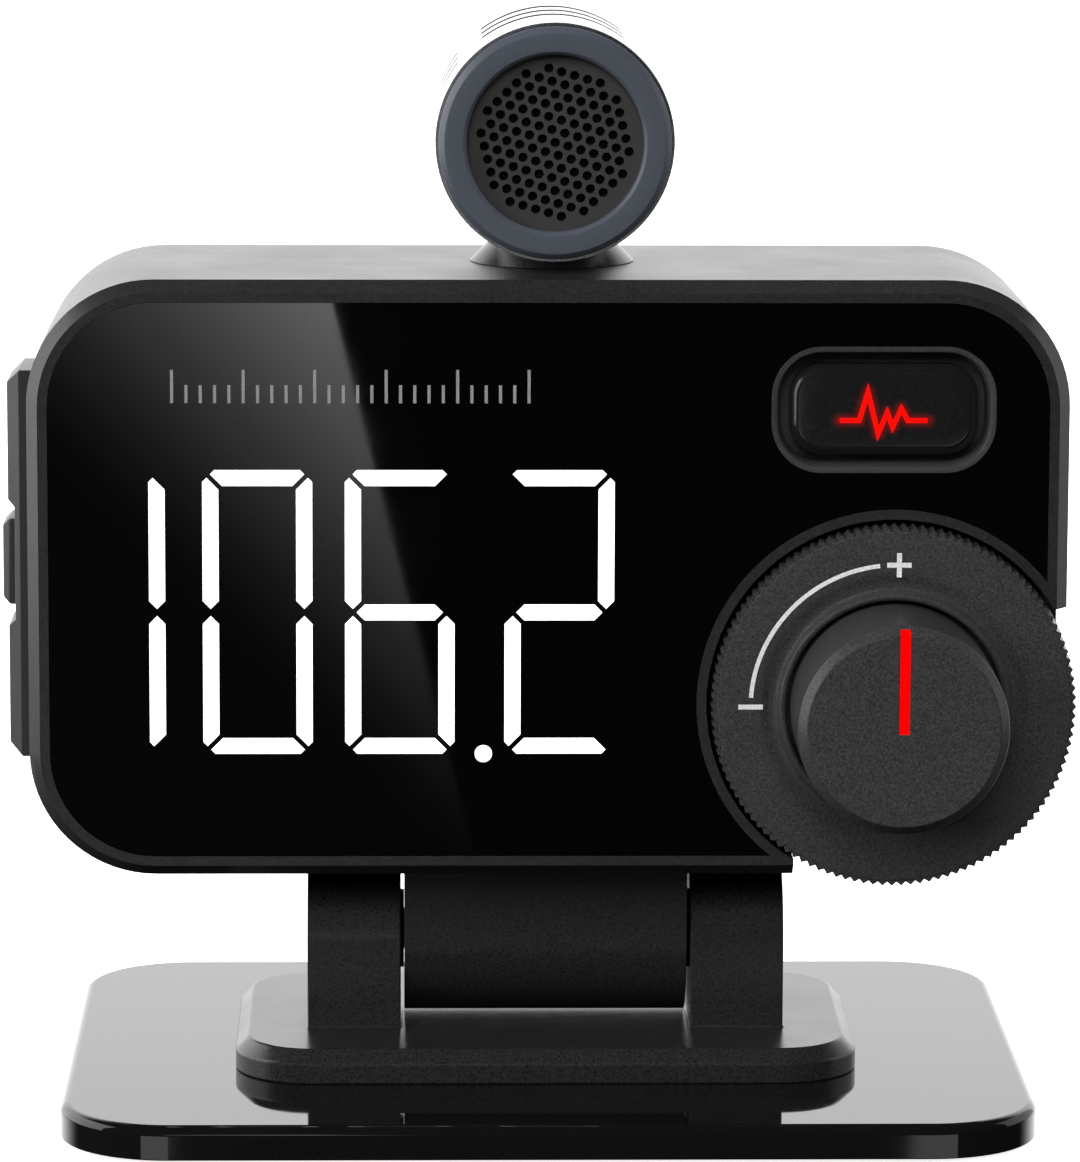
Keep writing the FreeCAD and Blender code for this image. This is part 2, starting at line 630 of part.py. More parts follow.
# ---------------------------------------------------------------- head shells
def notch_room(y0, y1):
    """Everything that the corner cut-out takes away: the dial's circle and the blunted corner beyond it."""
    beyond = HEAD_WIDTH
    circle = rod_y(y0, y1, NOTCH_RADIUS, WHEEL_X, WHEEL_Z)
    below = box(WHEEL_X - BOTTOM_TIP_RUN, beyond, y0, y1, HEAD_BOTTOM - WALL, WHEEL_Z)
    beside = box(WHEEL_X, beyond, y0, y1, HEAD_BOTTOM - WALL, WHEEL_Z + SIDE_TIP_RISE)
    return join(circle, below, beside)


def behind_dial(x, z):
    """Whether a boss stands behind the dial's deck, where it starts at the deck and its screw is shorter."""
    return x > 0 and z < HEAD_MIDDLE


def screw_tip(x, z):
    """Where the hole for a cover screw ends inside its boss."""
    return DECK_BACK + SHORT_SCREW_ENTRY if behind_dial(x, z) else COVER_SCREW_SEAT - COVER_SCREW_LENGTH


def housing_boss(x, z):
    """Screw boss in the front housing, with a rib to the nearest wall where it stands free."""
    if behind_dial(x, z):
        return rod_y(DECK_FRONT + DECK_THICKNESS / 2, SEAM, BOSS_RADIUS, x, z)
    start = SEAM - BOSS_LENGTH
    low, high = sorted((z, HEAD_TOP - WALL / 2 if z > HEAD_MIDDLE else HEAD_BOTTOM + WALL / 2))
    rib = box(x - THIN_WALL / 2, x + THIN_WALL / 2, start, SEAM - 2 * LIP_DEPTH, low, high)
    rib = rib.common(head_slab(WALL / 2, start, SEAM))
    return join(rod_y(start, SEAM, BOSS_RADIUS, x, z), rib)


def front_housing():
    """Front shell with the glass rebate, the dial's corner cut-out, screw bosses and the key window."""
    shell = join(head_taper(FRONT_BEVEL_IN, HEAD_FRONT, 0, HEAD_FRONT + FRONT_BEVEL_BACK),
                 head_slab(0, HEAD_FRONT + FRONT_BEVEL_BACK, SEAM))
    rebate = head_slab(PANEL_INSET, HEAD_FRONT, PANEL_BACK)
    rebate = rebate.cut(rod_y(HEAD_FRONT, PANEL_BACK, NOTCH_RADIUS + NOTCH_BAND, WHEEL_X, WHEEL_Z))
    window = head_slab(PANEL_INSET + LEDGE_WIDTH, PANEL_BACK, LEDGE_BACK)
    window = window.cut(rod_y(PANEL_BACK, LEDGE_BACK, NOTCH_RADIUS + NOTCH_BAND + NOTCH_LEDGE,
                              WHEEL_X, WHEEL_Z))
    cavity = head_slab(WALL, LEDGE_BACK, SEAM)
    cavity = cavity.cut(rod_y(LEDGE_BACK, DECK_BACK, TOWER_RADIUS, WHEEL_X, WHEEL_Z))
    cavity = cavity.cut(box(WHEEL_X, HEAD_WIDTH, LEDGE_BACK, DECK_BACK, HEAD_BOTTOM - WALL, WHEEL_Z))
    shell = shell.cut(rebate).cut(window).cut(cavity)
    shell = shell.cut(notch_room(HEAD_FRONT - 1, DECK_FRONT))
    for x, z in BOSS_PLACES:
        shell = shell.fuse(housing_boss(x, z))
    for side in (-1, 1):
        y0 = ROCKER_Y + side * (ROCKER_WIDTH / 2 + SLIDE_GAP)
        low, high = sorted((y0, y0 + side * THIN_WALL))
        shell = shell.fuse(box(SIDE_INSIDE - WALL / 2, TRUNNION_X + LUG_HALF, low, high,
                               ROCKER_Z - LUG_HALF, ROCKER_Z + LUG_HALF))
    shell = shell.removeSplitter()
    for x, z in BOSS_PLACES:
        shell = shell.cut(rod_y(screw_tip(x, z), SEAM, SMALL_SCREW_RADIUS + GLUE_FIT, x, z))
    half_window = ROCKER_LENGTH / 2 + ROCKER_END_GAP
    shell = shell.cut(box(SIDE_FACE - 1, SIDE_INSIDE + 1, ROCKER_Y - ROCKER_WIDTH / 2 - SLIDE_GAP,
                          ROCKER_Y + ROCKER_WIDTH / 2 + SLIDE_GAP,
                          ROCKER_Z - half_window, ROCKER_Z + half_window))
    shell = shell.cut(rod_y(ROCKER_Y - ROCKER_WIDTH, ROCKER_Y + ROCKER_WIDTH, TRUNNION_RADIUS + RUNNING_FIT,
                            TRUNNION_X, ROCKER_Z))
    shell = shell.cut(rod_y(DECK_FRONT, DECK_BACK, OUTER_SHAFT_RADIUS + RUNNING_FIT, WHEEL_X, WHEEL_Z))
    shell = shell.cut(rod_z(HEAD_TOP - 2 * WALL, HEAD_TOP, STEM_RADIUS + RUNNING_FIT, MIC_X, MIC_Y))
    for x, y in tongue_screw_places():
        shell = shell.cut(rod_z(HEAD_BOTTOM, HEAD_BOTTOM + WALL, SMALL_SCREW_RADIUS + GLUE_FIT, x, y))
    return shell


def rear_cover():
    """Rear shell with its locating lip, the board posts, screw holes and the power inlet's window."""
    bevel_start = HEAD_REAR - REAR_BEVEL
    share = (bevel_start - SEAM) / (HEAD_REAR - SEAM)
    shell = join(head_taper(0, SEAM, REAR_DRAFT * share, bevel_start),
                 head_taper(REAR_DRAFT * share, bevel_start, REAR_DRAFT + REAR_BEVEL, HEAD_REAR))
    shell = shell.cut(head_slab(WALL + REAR_DRAFT, SEAM, COVER_INSIDE))
    lip_inset = WALL + LIP_GAP
    lip = head_slab(lip_inset, SEAM - LIP_DEPTH, SEAM + LIP_ROOT).cut(
        head_slab(lip_inset + LIP_THICKNESS, SEAM - LIP_DEPTH, SEAM + LIP_ROOT))
    nut_room = STEM_NUT_RADIUS + LIP_NUT_GAP
    lip = lip.cut(box(MIC_X - nut_room, MIC_X + nut_room, SEAM - LIP_DEPTH, HEAD_REAR, HEAD_MIDDLE, HEAD_TOP))
    for x, z in BOSS_PLACES:
        lip = lip.cut(rod_y(SEAM - LIP_DEPTH, SEAM, BOSS_RADIUS + PAD_GAP, x, z))
        shell = shell.fuse(rod_y(SEAM, COVER_INSIDE + WALL / 2, BOSS_RADIUS, x, z))
    shell = shell.fuse(lip)
    for x, z in POST_PLACES:
        shell = shell.fuse(rod_y(MAIN_BOARD_BACK, COVER_INSIDE + WALL / 2, POST_RADIUS, x, z))
    shell = shell.removeSplitter()
    for x, z in BOSS_PLACES:
        shell = shell.cut(rod_y(SEAM, HEAD_REAR, SMALL_SCREW_RADIUS + GLUE_FIT, x, z))
        shell = shell.cut(rod_y(COVER_SCREW_SEAT, HEAD_REAR, SMALL_HEAD_RADIUS + SLIDE_GAP, x, z))
    for x, z in POST_PLACES:
        shell = shell.cut(rod_y(MAIN_BOARD_BACK, MAIN_BOARD_FRONT + BOARD_SCREW_LENGTH + GLUE_FIT,
                                SMALL_SCREW_RADIUS + GLUE_FIT, x, z))
    half_w, half_h = SOCKET_WIDTH / 2 + SOCKET_GAP, SOCKET_HEIGHT / 2 + SOCKET_GAP
    shell = shell.cut(slab_y(half_w, half_h, half_h - ROUND_END, SOCKET_X, SOCKET_Z, COVER_INSIDE, HEAD_REAR))
    return shell.cut(rod_z(HEAD_TOP - 2 * WALL, HEAD_TOP, STEM_RADIUS + RUNNING_FIT, MIC_X, MIC_Y))


def cover_screws():
    """Four pan-head screws in the rear cover's recesses."""
    top = COVER_SCREW_SEAT + PAN_HEAD_HEIGHT
    screws = []
    for x, z in BOSS_PLACES:
        shank = rod_y(screw_tip(x, z) + SCREW_TIP_GAP, COVER_SCREW_SEAT + WELD, SMALL_SCREW_RADIUS, x, z)
        screw = join(shank, rod_y(COVER_SCREW_SEAT, top, SMALL_HEAD_RADIUS, x, z))
        for half_x, half_z in ((SLOT_REACH, SLOT_HALF_WIDTH), (SLOT_HALF_WIDTH, SLOT_REACH)):
            screw = screw.cut(box(x - half_x, x + half_x, top - CROSS_DEPTH, top, z - half_z, z + half_z))
        screws.append(screw)
    return Part.makeCompound(screws)


# ---------------------------------------------------------------- display
def digit_shapes(left, names):
    """Segments of one seven-segment figure as (x, z) outlines, lettered a to g in the usual order."""
    right = left + DIGIT_WIDTH
    low = HEAD_BOTTOM + DIGIT_BASE_UP
    high = low + DIGIT_HEIGHT
    mid = (low + high) / 2
    t, c, k = DIGIT_STROKE, DIGIT_CUT, DIGIT_CORNER_CUT
    near, far = (k + c) / 2, (k - c) / 2
    outlines = {}
    for name, z, s in (("a", high, -1), ("d", low, 1)):
        outlines[name] = [(left + k, z), (left + near, z + s * far), (left + t + c, z + s * t),
                          (right - t - c, z + s * t), (right - near, z + s * far), (right - k, z)]
    half = t / 2
    outlines["g"] = [(left + half + c, mid), (left + t + c, mid + half), (right - t - c, mid + half),
                     (right - half - c, mid), (right - t - c, mid - half), (left + t + c, mid - half)]
    sides = (("b", right, -1, high, -1), ("c", right, -1, low, 1),
             ("e", left, 1, low, 1), ("f", left, 1, high, -1))
    for name, x, sx, z, sz in sides:
        inner = mid - sz * half
        outlines[name] = [(x, z + sz * k), (x + sx * far, z + sz * near), (x + sx * t, z + sz * (t + c)),
                          (x + sx * t, inner - sz * c), (x + sx * half, mid - sz * c), (x, inner - sz * c)]
    return [outlines[name] for name in names]


def digit_windows():
    """Clear windows of the four figures and the point, flush with the glass."""
    solids = []
    for left, names in zip(DIGIT_LEFTS, DIGIT_SEGMENTS):
        solids += [prism_y(outline, HEAD_FRONT, PANEL_BACK) for outline in digit_shapes(left, names)]
    solids.append(rod_y(HEAD_FRONT, PANEL_BACK, POINT_RADIUS, POINT_X, HEAD_BOTTOM + DIGIT_BASE_UP))
    return Part.makeCompound(solids)


def display_panel():
    """Smoked gloss panel with windows for the figures and an opening for the button trim."""
    panel = head_slab(PANEL_INSET + GLUE_FIT, HEAD_FRONT, PANEL_BACK)
    panel = panel.cut(rod_y(HEAD_FRONT, PANEL_BACK, NOTCH_RADIUS + NOTCH_BAND + GLUE_FIT, WHEEL_X, WHEEL_Z))
    panel = panel.cut(slab_y(TRIM_WIDTH / 2 + GLUE_FIT, TRIM_HEIGHT / 2 + GLUE_FIT, TRIM_CORNER + GLUE_FIT,
                             BUTTON_X, BUTTON_Z, HEAD_FRONT, PANEL_BACK))
    for left, names in zip(DIGIT_LEFTS, DIGIT_SEGMENTS):
        for outline in digit_shapes(left, names):
            panel = panel.cut(prism_y(outline, HEAD_FRONT, PANEL_BACK))
    point = rod_y(HEAD_FRONT, PANEL_BACK, POINT_RADIUS + GLUE_FIT, POINT_X, HEAD_BOTTOM + DIGIT_BASE_UP)
    return panel.cut(point)


def display_module():
    """Light box behind the figures."""
    low = HEAD_BOTTOM + DIGIT_BASE_UP - POINT_RADIUS - DISPLAY_MARGIN
    high = HEAD_BOTTOM + DIGIT_BASE_UP + DIGIT_HEIGHT + DISPLAY_MARGIN
    right = DIGIT_LEFTS[-1] + DIGIT_WIDTH + DISPLAY_MARGIN
    module = box(DIGIT_LEFTS[0] - DISPLAY_MARGIN, right, PANEL_BACK, DISPLAY_BACK, low, high)
    return module.cut(rod_y(PANEL_BACK, DISPLAY_BACK, TOWER_RADIUS + BOARD_BOSS_GAP, WHEEL_X, WHEEL_Z))


def display_board():
    """Circuit board that carries the display module and the button's switch."""
    board = box(KEY_BOARD_BACK, DISPLAY_BOARD_RIGHT, DISPLAY_BACK, DISPLAY_BOARD_BACK,
                HEAD_BOTTOM + BOARD_EDGE_GAP, HEAD_TOP - BOARD_EDGE_GAP)
    board = board.cut(rod_y(DISPLAY_BACK, DISPLAY_BOARD_BACK, TOWER_RADIUS + BOARD_BOSS_GAP,
                            WHEEL_X, WHEEL_Z))
    board = board.cut(box(WHEEL_X, HEAD_WIDTH, DISPLAY_BACK, DISPLAY_BOARD_BACK, HEAD_BOTTOM, WHEEL_Z))
    for x, z in BOSS_PLACES:
        board = board.cut(rod_y(DISPLAY_BACK, DISPLAY_BOARD_BACK, BOSS_RADIUS + BOARD_BOSS_GAP, x, z))
    return board


# ---------------------------------------------------------------- boards, parts and inlet
def main_board():
    """Circuit board on the rear cover's posts."""
    board = box(-MAIN_BOARD_HALF_WIDTH, MAIN_BOARD_HALF_WIDTH, MAIN_BOARD_FRONT, MAIN_BOARD_BACK,
                MAIN_BOARD_BOTTOM, MAIN_BOARD_TOP)
    for x, z in BOSS_PLACES:
        board = board.cut(rod_y(MAIN_BOARD_FRONT, MAIN_BOARD_BACK, BOSS_RADIUS + BOARD_BOSS_GAP, x, z))
    for x, z in POST_PLACES:
        board = board.cut(rod_y(MAIN_BOARD_FRONT, MAIN_BOARD_BACK, SMALL_SCREW_RADIUS + GLUE_FIT, x, z))
    return board


def board_screws():
    """Four pan-head screws that hold the main board to its posts."""
    screws = []
    for x, z in POST_PLACES:
        shank = rod_y(MAIN_BOARD_FRONT - WELD, MAIN_BOARD_FRONT + BOARD_SCREW_LENGTH,
                      SMALL_SCREW_RADIUS, x, z)
        head = rod_y(MAIN_BOARD_FRONT - PAN_HEAD_HEIGHT, MAIN_BOARD_FRONT, SMALL_HEAD_RADIUS, x, z)
        screws.append(join(shank, head))
    return Part.makeCompound(screws)


def block_behind_board(x, rise, size, thickness):
    """Square block soldered to the main board's rear."""
    half = size / 2
    z = HEAD_MIDDLE + rise
    return box(x - half, x + half, MAIN_BOARD_BACK, MAIN_BOARD_BACK + thickness, z - half, z + half)


def radio_module():
    """Shielded radio module with a rounded can."""
    can = block_behind_board(RADIO_X, RADIO_RISE, RADIO_SIZE, RADIO_THICKNESS)
    face = MAIN_BOARD_BACK + RADIO_THICKNESS - RADIO_EDGE
    return can.makeFillet(RADIO_EDGE, [edge for edge in can.Edges if min(v.Y for v in edge.Vertexes) > face])


def power_inductor():
    """Coil of the supply regulator, with its four standing edges cut off."""
    block = block_behind_board(COIL_X, COIL_RISE, COIL_SIZE, COIL_THICKNESS)
    standing = [edge for edge in block.Edges if abs(edge.Vertexes[0].Y - edge.Vertexes[1].Y) > COIL_EDGE]
    return block.makeChamfer(COIL_EDGE, standing)


def smoothing_capacitors():
    """Two capacitor cans beside the coil."""
    return Part.makeCompound([rod_y(MAIN_BOARD_BACK, MAIN_BOARD_BACK + CAN_HEIGHT, CAN_RADIUS, x,
                                    HEAD_MIDDLE + CAN_RISE) for x in CAN_PLACES])


def cable_block(y0, y1, margin_x, half_z):
    """Block about the flat cable's path, wider than the cable by a margin."""
    half = CABLE_WIDTH / 2 + margin_x
    return box(CABLE_X - half, CABLE_X + half, y0, y1, CABLE_Z - half_z, CABLE_Z + half_z)


def board_connectors():
    """Flat-cable connectors, one on each board."""
    solids = []
    for y0, y1 in ((DISPLAY_BOARD_BACK, DISPLAY_BOARD_BACK + CONNECTOR_HEIGHT),
                   (MAIN_BOARD_FRONT - CONNECTOR_HEIGHT, MAIN_BOARD_FRONT)):
        slot = cable_block(y0, y1, GLUE_FIT, CABLE_THICKNESS / 2 + GLUE_FIT)
        solids.append(cable_block(y0, y1, CONNECTOR_MARGIN, CONNECTOR_DEPTH / 2).cut(slot))
    return Part.makeCompound(solids)


def board_cable():
    """Flat cable straight across from one board to the other."""
    return cable_block(DISPLAY_BOARD_BACK + CABLE_END_GAP, MAIN_BOARD_FRONT - CABLE_END_GAP,
                       0, CABLE_THICKNESS / 2)


def usb_socket():
    """Steel shell of the power inlet, soldered to the main board and open at the rear."""
    end = HEAD_REAR - SOCKET_INSET
    half_w, half_h = SOCKET_WIDTH / 2, SOCKET_HEIGHT / 2
    shell = slab_y(half_w, half_h, half_h - ROUND_END, SOCKET_X, SOCKET_Z, MAIN_BOARD_BACK, end)
    room_w, room_h = half_w - SOCKET_WALL, half_h - SOCKET_WALL
    return shell.cut(slab_y(room_w, room_h, room_h - ROUND_END, SOCKET_X, SOCKET_Z, SOCKET_FLOOR, end))


def usb_blade():
    """Contact blade inside the power inlet."""
    return box(SOCKET_X - BLADE_WIDTH / 2, SOCKET_X + BLADE_WIDTH / 2,
               SOCKET_FLOOR, SOCKET_FLOOR + BLADE_LENGTH,
               SOCKET_Z - BLADE_THICKNESS / 2, SOCKET_Z + BLADE_THICKNESS / 2)


# ---------------------------------------------------------------- dial
def wheel_profile():
    """Knurled outline of the control wheel, as (x, z) corners about its axis."""
    points = []
    for i in range(2 * WHEEL_TEETH):
        radius = WHEEL_RADIUS if i % 2 == 0 else WHEEL_RADIUS - WHEEL_TOOTH_DEPTH
        angle = math.pi * i / WHEEL_TEETH
        points.append((WHEEL_X + radius * math.cos(angle), WHEEL_Z + radius * math.sin(angle)))
    return points


def control_wheel():
    """Knurled wheel: a web with a recess and collar for the knob, a rim, and a hub on the outer shaft."""
    wheel = prism_y(wheel_profile(), WHEEL_FRONT, WHEEL_BACK)
    room = tube_y(WEB_BACK, WHEEL_BACK, WHEEL_RADIUS - WHEEL_RIM, WHEEL_HUB_RADIUS, WHEEL_X, WHEEL_Z)
    wheel = wheel.cut(room)
    collar_outer = RECESS_RADIUS + COLLAR_WIDTH
    collar = cone_y(WHEEL_FRONT - COLLAR_HEIGHT, WHEEL_FRONT, collar_outer - COLLAR_HEIGHT / 2, collar_outer,
                    WHEEL_X, WHEEL_Z)
    wheel = join(wheel, collar)
    wheel = wheel.cut(rod_y(WHEEL_FRONT - COLLAR_HEIGHT, RECESS_FLOOR, RECESS_RADIUS, WHEEL_X, WHEEL_Z))
    wheel = wheel.cut(rod_y(RECESS_FLOOR, WEB_BACK, INNER_SHAFT_RADIUS + KNOB_GAP, WHEEL_X, WHEEL_Z))
    return wheel.cut(rod_y(WEB_BACK, WHEEL_BACK, OUTER_SHAFT_RADIUS + GLUE_FIT, WHEEL_X, WHEEL_Z))


def wheel_shaft():
    """Hollow outer shaft of the twin encoder, pressed into the wheel's hub."""
    return tube_y(WEB_BACK, DECK_BACK + OUTER_SHAFT_ENTRY,
                  OUTER_SHAFT_RADIUS, INNER_SHAFT_RADIUS + RUNNING_FIT, WHEEL_X, WHEEL_Z)


def dual_encoder():
    """Body of the twin encoder, soldered to the main board behind the deck."""
    half = ENCODER_SIZE / 2
    body = box(WHEEL_X - half, WHEEL_X + half, DECK_BACK, MAIN_BOARD_FRONT, WHEEL_Z - half, WHEEL_Z + half)
    body = body.cut(rod_y(DECK_BACK, DECK_BACK + OUTER_SHAFT_ENTRY + SLIDE_GAP,
                          OUTER_SHAFT_RADIUS + RUNNING_FIT, WHEEL_X, WHEEL_Z))
    return body.cut(rod_y(DECK_BACK, MAIN_BOARD_FRONT - ENCODER_FLOOR, INNER_SHAFT_RADIUS + RUNNING_FIT,
                          WHEEL_X, WHEEL_Z))


def knob_body():
    """Knob cap before its pointer groove is cut: a hollow cup with a bevelled face and a shaft hub."""
    edge_back = KNOB_FRONT + KNOB_EDGE
    cap = join(cone_y(KNOB_FRONT, edge_back, KNOB_RADIUS - KNOB_EDGE, KNOB_RADIUS, WHEEL_X, WHEEL_Z),
               rod_y(edge_back, KNOB_BACK, KNOB_RADIUS, WHEEL_X, WHEEL_Z))
    inside = KNOB_FRONT + KNOB_FACE_WALL
    hub_end = inside + KNOB_HUB_LENGTH
    cap = cap.cut(rod_y(inside, KNOB_BACK, KNOB_RADIUS - KNOB_WALL, WHEEL_X, WHEEL_Z))
    hub = rod_y(inside - WELD, hub_end, KNOB_HUB_RADIUS, WHEEL_X, WHEEL_Z)
    return join(cap, hub).cut(rod_y(inside, hub_end, INNER_SHAFT_RADIUS + GLUE_FIT, WHEEL_X, WHEEL_Z))


def pointer_bar():
    """Block that cuts the pointer's groove and bounds the pointer."""
    return box(WHEEL_X - POINTER_WIDTH / 2, WHEEL_X + POINTER_WIDTH / 2,
               KNOB_FRONT, KNOB_FRONT + POINTER_DEPTH,
               WHEEL_Z - POINTER_PAST_CENTRE, WHEEL_Z + KNOB_RADIUS)


def knob_cap():
    """Knob with a groove for the pointer."""
    return knob_body().cut(pointer_bar())


def knob_pointer():
    """Coloured inlay that fills the knob's groove, flush with its face and bevel."""
    return knob_body().common(pointer_bar())


def knob_shaft():
    """Inner shaft of the twin encoder, from the knob's hub to the push switch."""
    return rod_y(KNOB_FRONT + KNOB_FACE_WALL, INNER_SHAFT_END, INNER_SHAFT_RADIUS, WHEEL_X, WHEEL_Z)


def knob_switch_plunger():
    """Plunger of the encoder's push switch, touched by the end of the inner shaft."""
    return rod_y(INNER_SHAFT_END, INNER_SHAFT_END + PLUNGER_LENGTH, PLUNGER_RADIUS, WHEEL_X, WHEEL_Z)


# ---------------------------------------------------------------- pulse button
def button_trim():
    """Oval trim ring through the glass, with a flange behind it and a floor that guides the cap's stem."""
    half_w, half_h = TRIM_WIDTH / 2, TRIM_HEIGHT / 2
    ring = slab_y(half_w, half_h, TRIM_CORNER, BUTTON_X, BUTTON_Z, HEAD_FRONT - TRIM_PROUD, TRIM_BACK)
    flange = slab_y(half_w + TRIM_FLANGE, half_h + TRIM_FLANGE, TRIM_CORNER + TRIM_FLANGE, BUTTON_X, BUTTON_Z,
                    PANEL_BACK, PANEL_BACK + TRIM_FLANGE_THICKNESS)
    well = slab_y(half_w - TRIM_BAND, half_h - TRIM_BAND, TRIM_CORNER - TRIM_BAND, BUTTON_X, BUTTON_Z,
                  HEAD_FRONT - TRIM_PROUD, TRIM_BACK - TRIM_FLOOR)
    trim = join(ring, flange).cut(well)
    return trim.cut(rod_y(TRIM_BACK - TRIM_FLOOR, TRIM_BACK, CAP_STEM_RADIUS + RUNNING_FIT,
                          BUTTON_X, BUTTON_Z))


def pulse_icon():
    """Pulse-line symbol of the button as a lit inlay."""
    points = [(BUTTON_X + x, BUTTON_Z + z) for x, z in ICON_POINTS]
    return prism_y(stroke_outline(points, ICON_STROKE), BUTTON_FACE, BUTTON_FACE + ICON_DEPTH)


def cap_wire(inset, y):
    """Outline of the button's cap, pulled in by inset from its full size, in the plane at y."""
    drop = TRIM_BAND + CAP_GAP + inset
    return rounded_wire(TRIM_WIDTH / 2 - drop, TRIM_HEIGHT / 2 - drop, TRIM_CORNER - drop,
                        lambda u, v: Vector(BUTTON_X + u, y, BUTTON_Z + v))


def pulse_button_cap():
    """Button cap with a bevelled face, a stem and a channel for the lit symbol."""
    bevel_back = BUTTON_FACE + CAP_EDGE
    bevel = Part.makeLoft([cap_wire(CAP_EDGE, BUTTON_FACE), cap_wire(0, bevel_back)], True, True)
    block = Part.Face(cap_wire(0, bevel_back)).extrude(Vector(0, BUTTON_BACK - bevel_back, 0))
    stem = rod_y(BUTTON_BACK - WELD, SWITCH_FACE + CAP_STEM_ENTRY, CAP_STEM_RADIUS, BUTTON_X, BUTTON_Z)
    return join(bevel, block, stem).cut(pulse_icon())


def pulse_switch():
    """Push switch on the display board, with a well for the cap's stem."""
    half = SWITCH_WIDTH / 2
    body = box(BUTTON_X - half, BUTTON_X + half, SWITCH_FACE, DISPLAY_BACK, BUTTON_Z - half, BUTTON_Z + half)
    well_floor = SWITCH_FACE + BUTTON_TRAVEL + BUTTON_OVERTRAVEL
    return body.cut(rod_y(SWITCH_FACE, well_floor, CAP_STEM_RADIUS + RUNNING_FIT, BUTTON_X, BUTTON_Z))


# ---------------------------------------------------------------- side keys
def rocker_bar():
    """Rocker's bar: bevelled ends and a saddle as seen from the front, bevelled sides as seen from above."""
    half, saddle, half_w = ROCKER_LENGTH / 2, SADDLE_LENGTH / 2, ROCKER_WIDTH / 2
    step = ROCKER_PROUD - SADDLE_PROUD
    outer = SIDE_FACE - ROCKER_PROUD
    bevel, edge = outer + ROCKER_END_BEVEL, outer + ROCKER_SIDE_BEVEL
    front_view = [(bevel, -half), (outer, -half + ROCKER_END_BEVEL), (outer, -saddle - step),
                  (outer + step, -saddle), (outer + step, saddle), (outer, saddle + step),
                  (outer, half - ROCKER_END_BEVEL), (bevel, half), (ROCKER_BACK, half), (ROCKER_BACK, -half)]
    top_view = [(edge, -half_w), (outer, -half_w + ROCKER_SIDE_BEVEL), (outer, half_w - ROCKER_SIDE_BEVEL),
                (edge, half_w), (ROCKER_BACK, half_w), (ROCKER_BACK, -half_w)]
    bar = prism_y([(x, ROCKER_Z + z) for x, z in front_view], ROCKER_Y - half_w, ROCKER_Y + half_w)
    return bar.common(prism_z([(x, ROCKER_Y + y) for x, y in top_view], ROCKER_Z - half, ROCKER_Z + half))


def side_rocker():
    """Rocker with a hole for the middle key, trunnions at its middle and a nub over each switch."""
    half_w = ROCKER_WIDTH / 2
    block_half = SIDE_KEY_LENGTH / 2 + SIDE_KEY_GAP + THIN_WALL
    block = box(ROCKER_BACK - WELD, TRUNNION_BLOCK_BACK, ROCKER_Y - half_w, ROCKER_Y + half_w,
                ROCKER_Z - block_half, ROCKER_Z + block_half)
    reach = half_w + TRUNNION_LENGTH
    trunnions = rod_y(ROCKER_Y - reach, ROCKER_Y + reach, TRUNNION_RADIUS, TRUNNION_X, ROCKER_Z)
    nubs = [rod_x(ROCKER_BACK - WELD, ROCKER_BACK + ROCKER_NUB_LENGTH, KEY_NUB_RADIUS, ROCKER_Y,
                  ROCKER_Z + side * KEY_SWITCH_PITCH) for side in (-1, 1)]
    room_l, room_w = SIDE_KEY_LENGTH / 2 + SIDE_KEY_GAP, SIDE_KEY_WIDTH / 2 + SIDE_KEY_GAP
    key_hole = box(SIDE_FACE - 2 * ROCKER_PROUD, TRUNNION_BLOCK_BACK + WALL,
                   ROCKER_Y - room_w, ROCKER_Y + room_w, ROCKER_Z - room_l, ROCKER_Z + room_l)
    return join(rocker_bar(), block, trunnions, *nubs).cut(key_hole)


def side_key():
    """Middle key that slides through the rocker onto its own switch."""
    outer = SIDE_FACE - SIDE_KEY_PROUD
    tip = KEY_NUB_FACE - SIDE_KEY_TRAVEL - TOUCH_GAP
    back = tip - SIDE_KEY_NUB_LENGTH
    cap = box(outer, back, ROCKER_Y - SIDE_KEY_WIDTH / 2, ROCKER_Y + SIDE_KEY_WIDTH / 2,
              ROCKER_Z - SIDE_KEY_LENGTH / 2, ROCKER_Z + SIDE_KEY_LENGTH / 2)
    rim = [edge for edge in cap.Edges if max(v.X for v in edge.Vertexes) < outer + WELD]
    nub = rod_x(back - WELD, tip, KEY_NUB_RADIUS, ROCKER_Y, ROCKER_Z)
    return join(cap.makeChamfer(SIDE_KEY_BEVEL, rim), nub)


def key_board():
    """Narrow board on edge behind the side keys."""
    return box(KEY_BOARD_FRONT, KEY_BOARD_BACK, DISPLAY_BACK, ROCKER_Y + ROCKER_WIDTH / 2,
               ROCKER_Z - KEY_BOARD_LENGTH / 2, ROCKER_Z + KEY_BOARD_LENGTH / 2)


def side_switches():
    """Three push switches on the key board."""
    half = KEY_SWITCH_SIZE / 2
    solids = []
    for step in (-1, 0, 1):
        z = ROCKER_Z + step * KEY_SWITCH_PITCH
        body = box(KEY_SWITCH_FACE, KEY_BOARD_FRONT, ROCKER_Y - half, ROCKER_Y + half, z - half, z + half)
        solids.append(join(body, rod_x(KEY_NUB_FACE, KEY_SWITCH_FACE + WELD, KEY_NUB_RADIUS, ROCKER_Y, z)))
    return Part.makeCompound(solids)


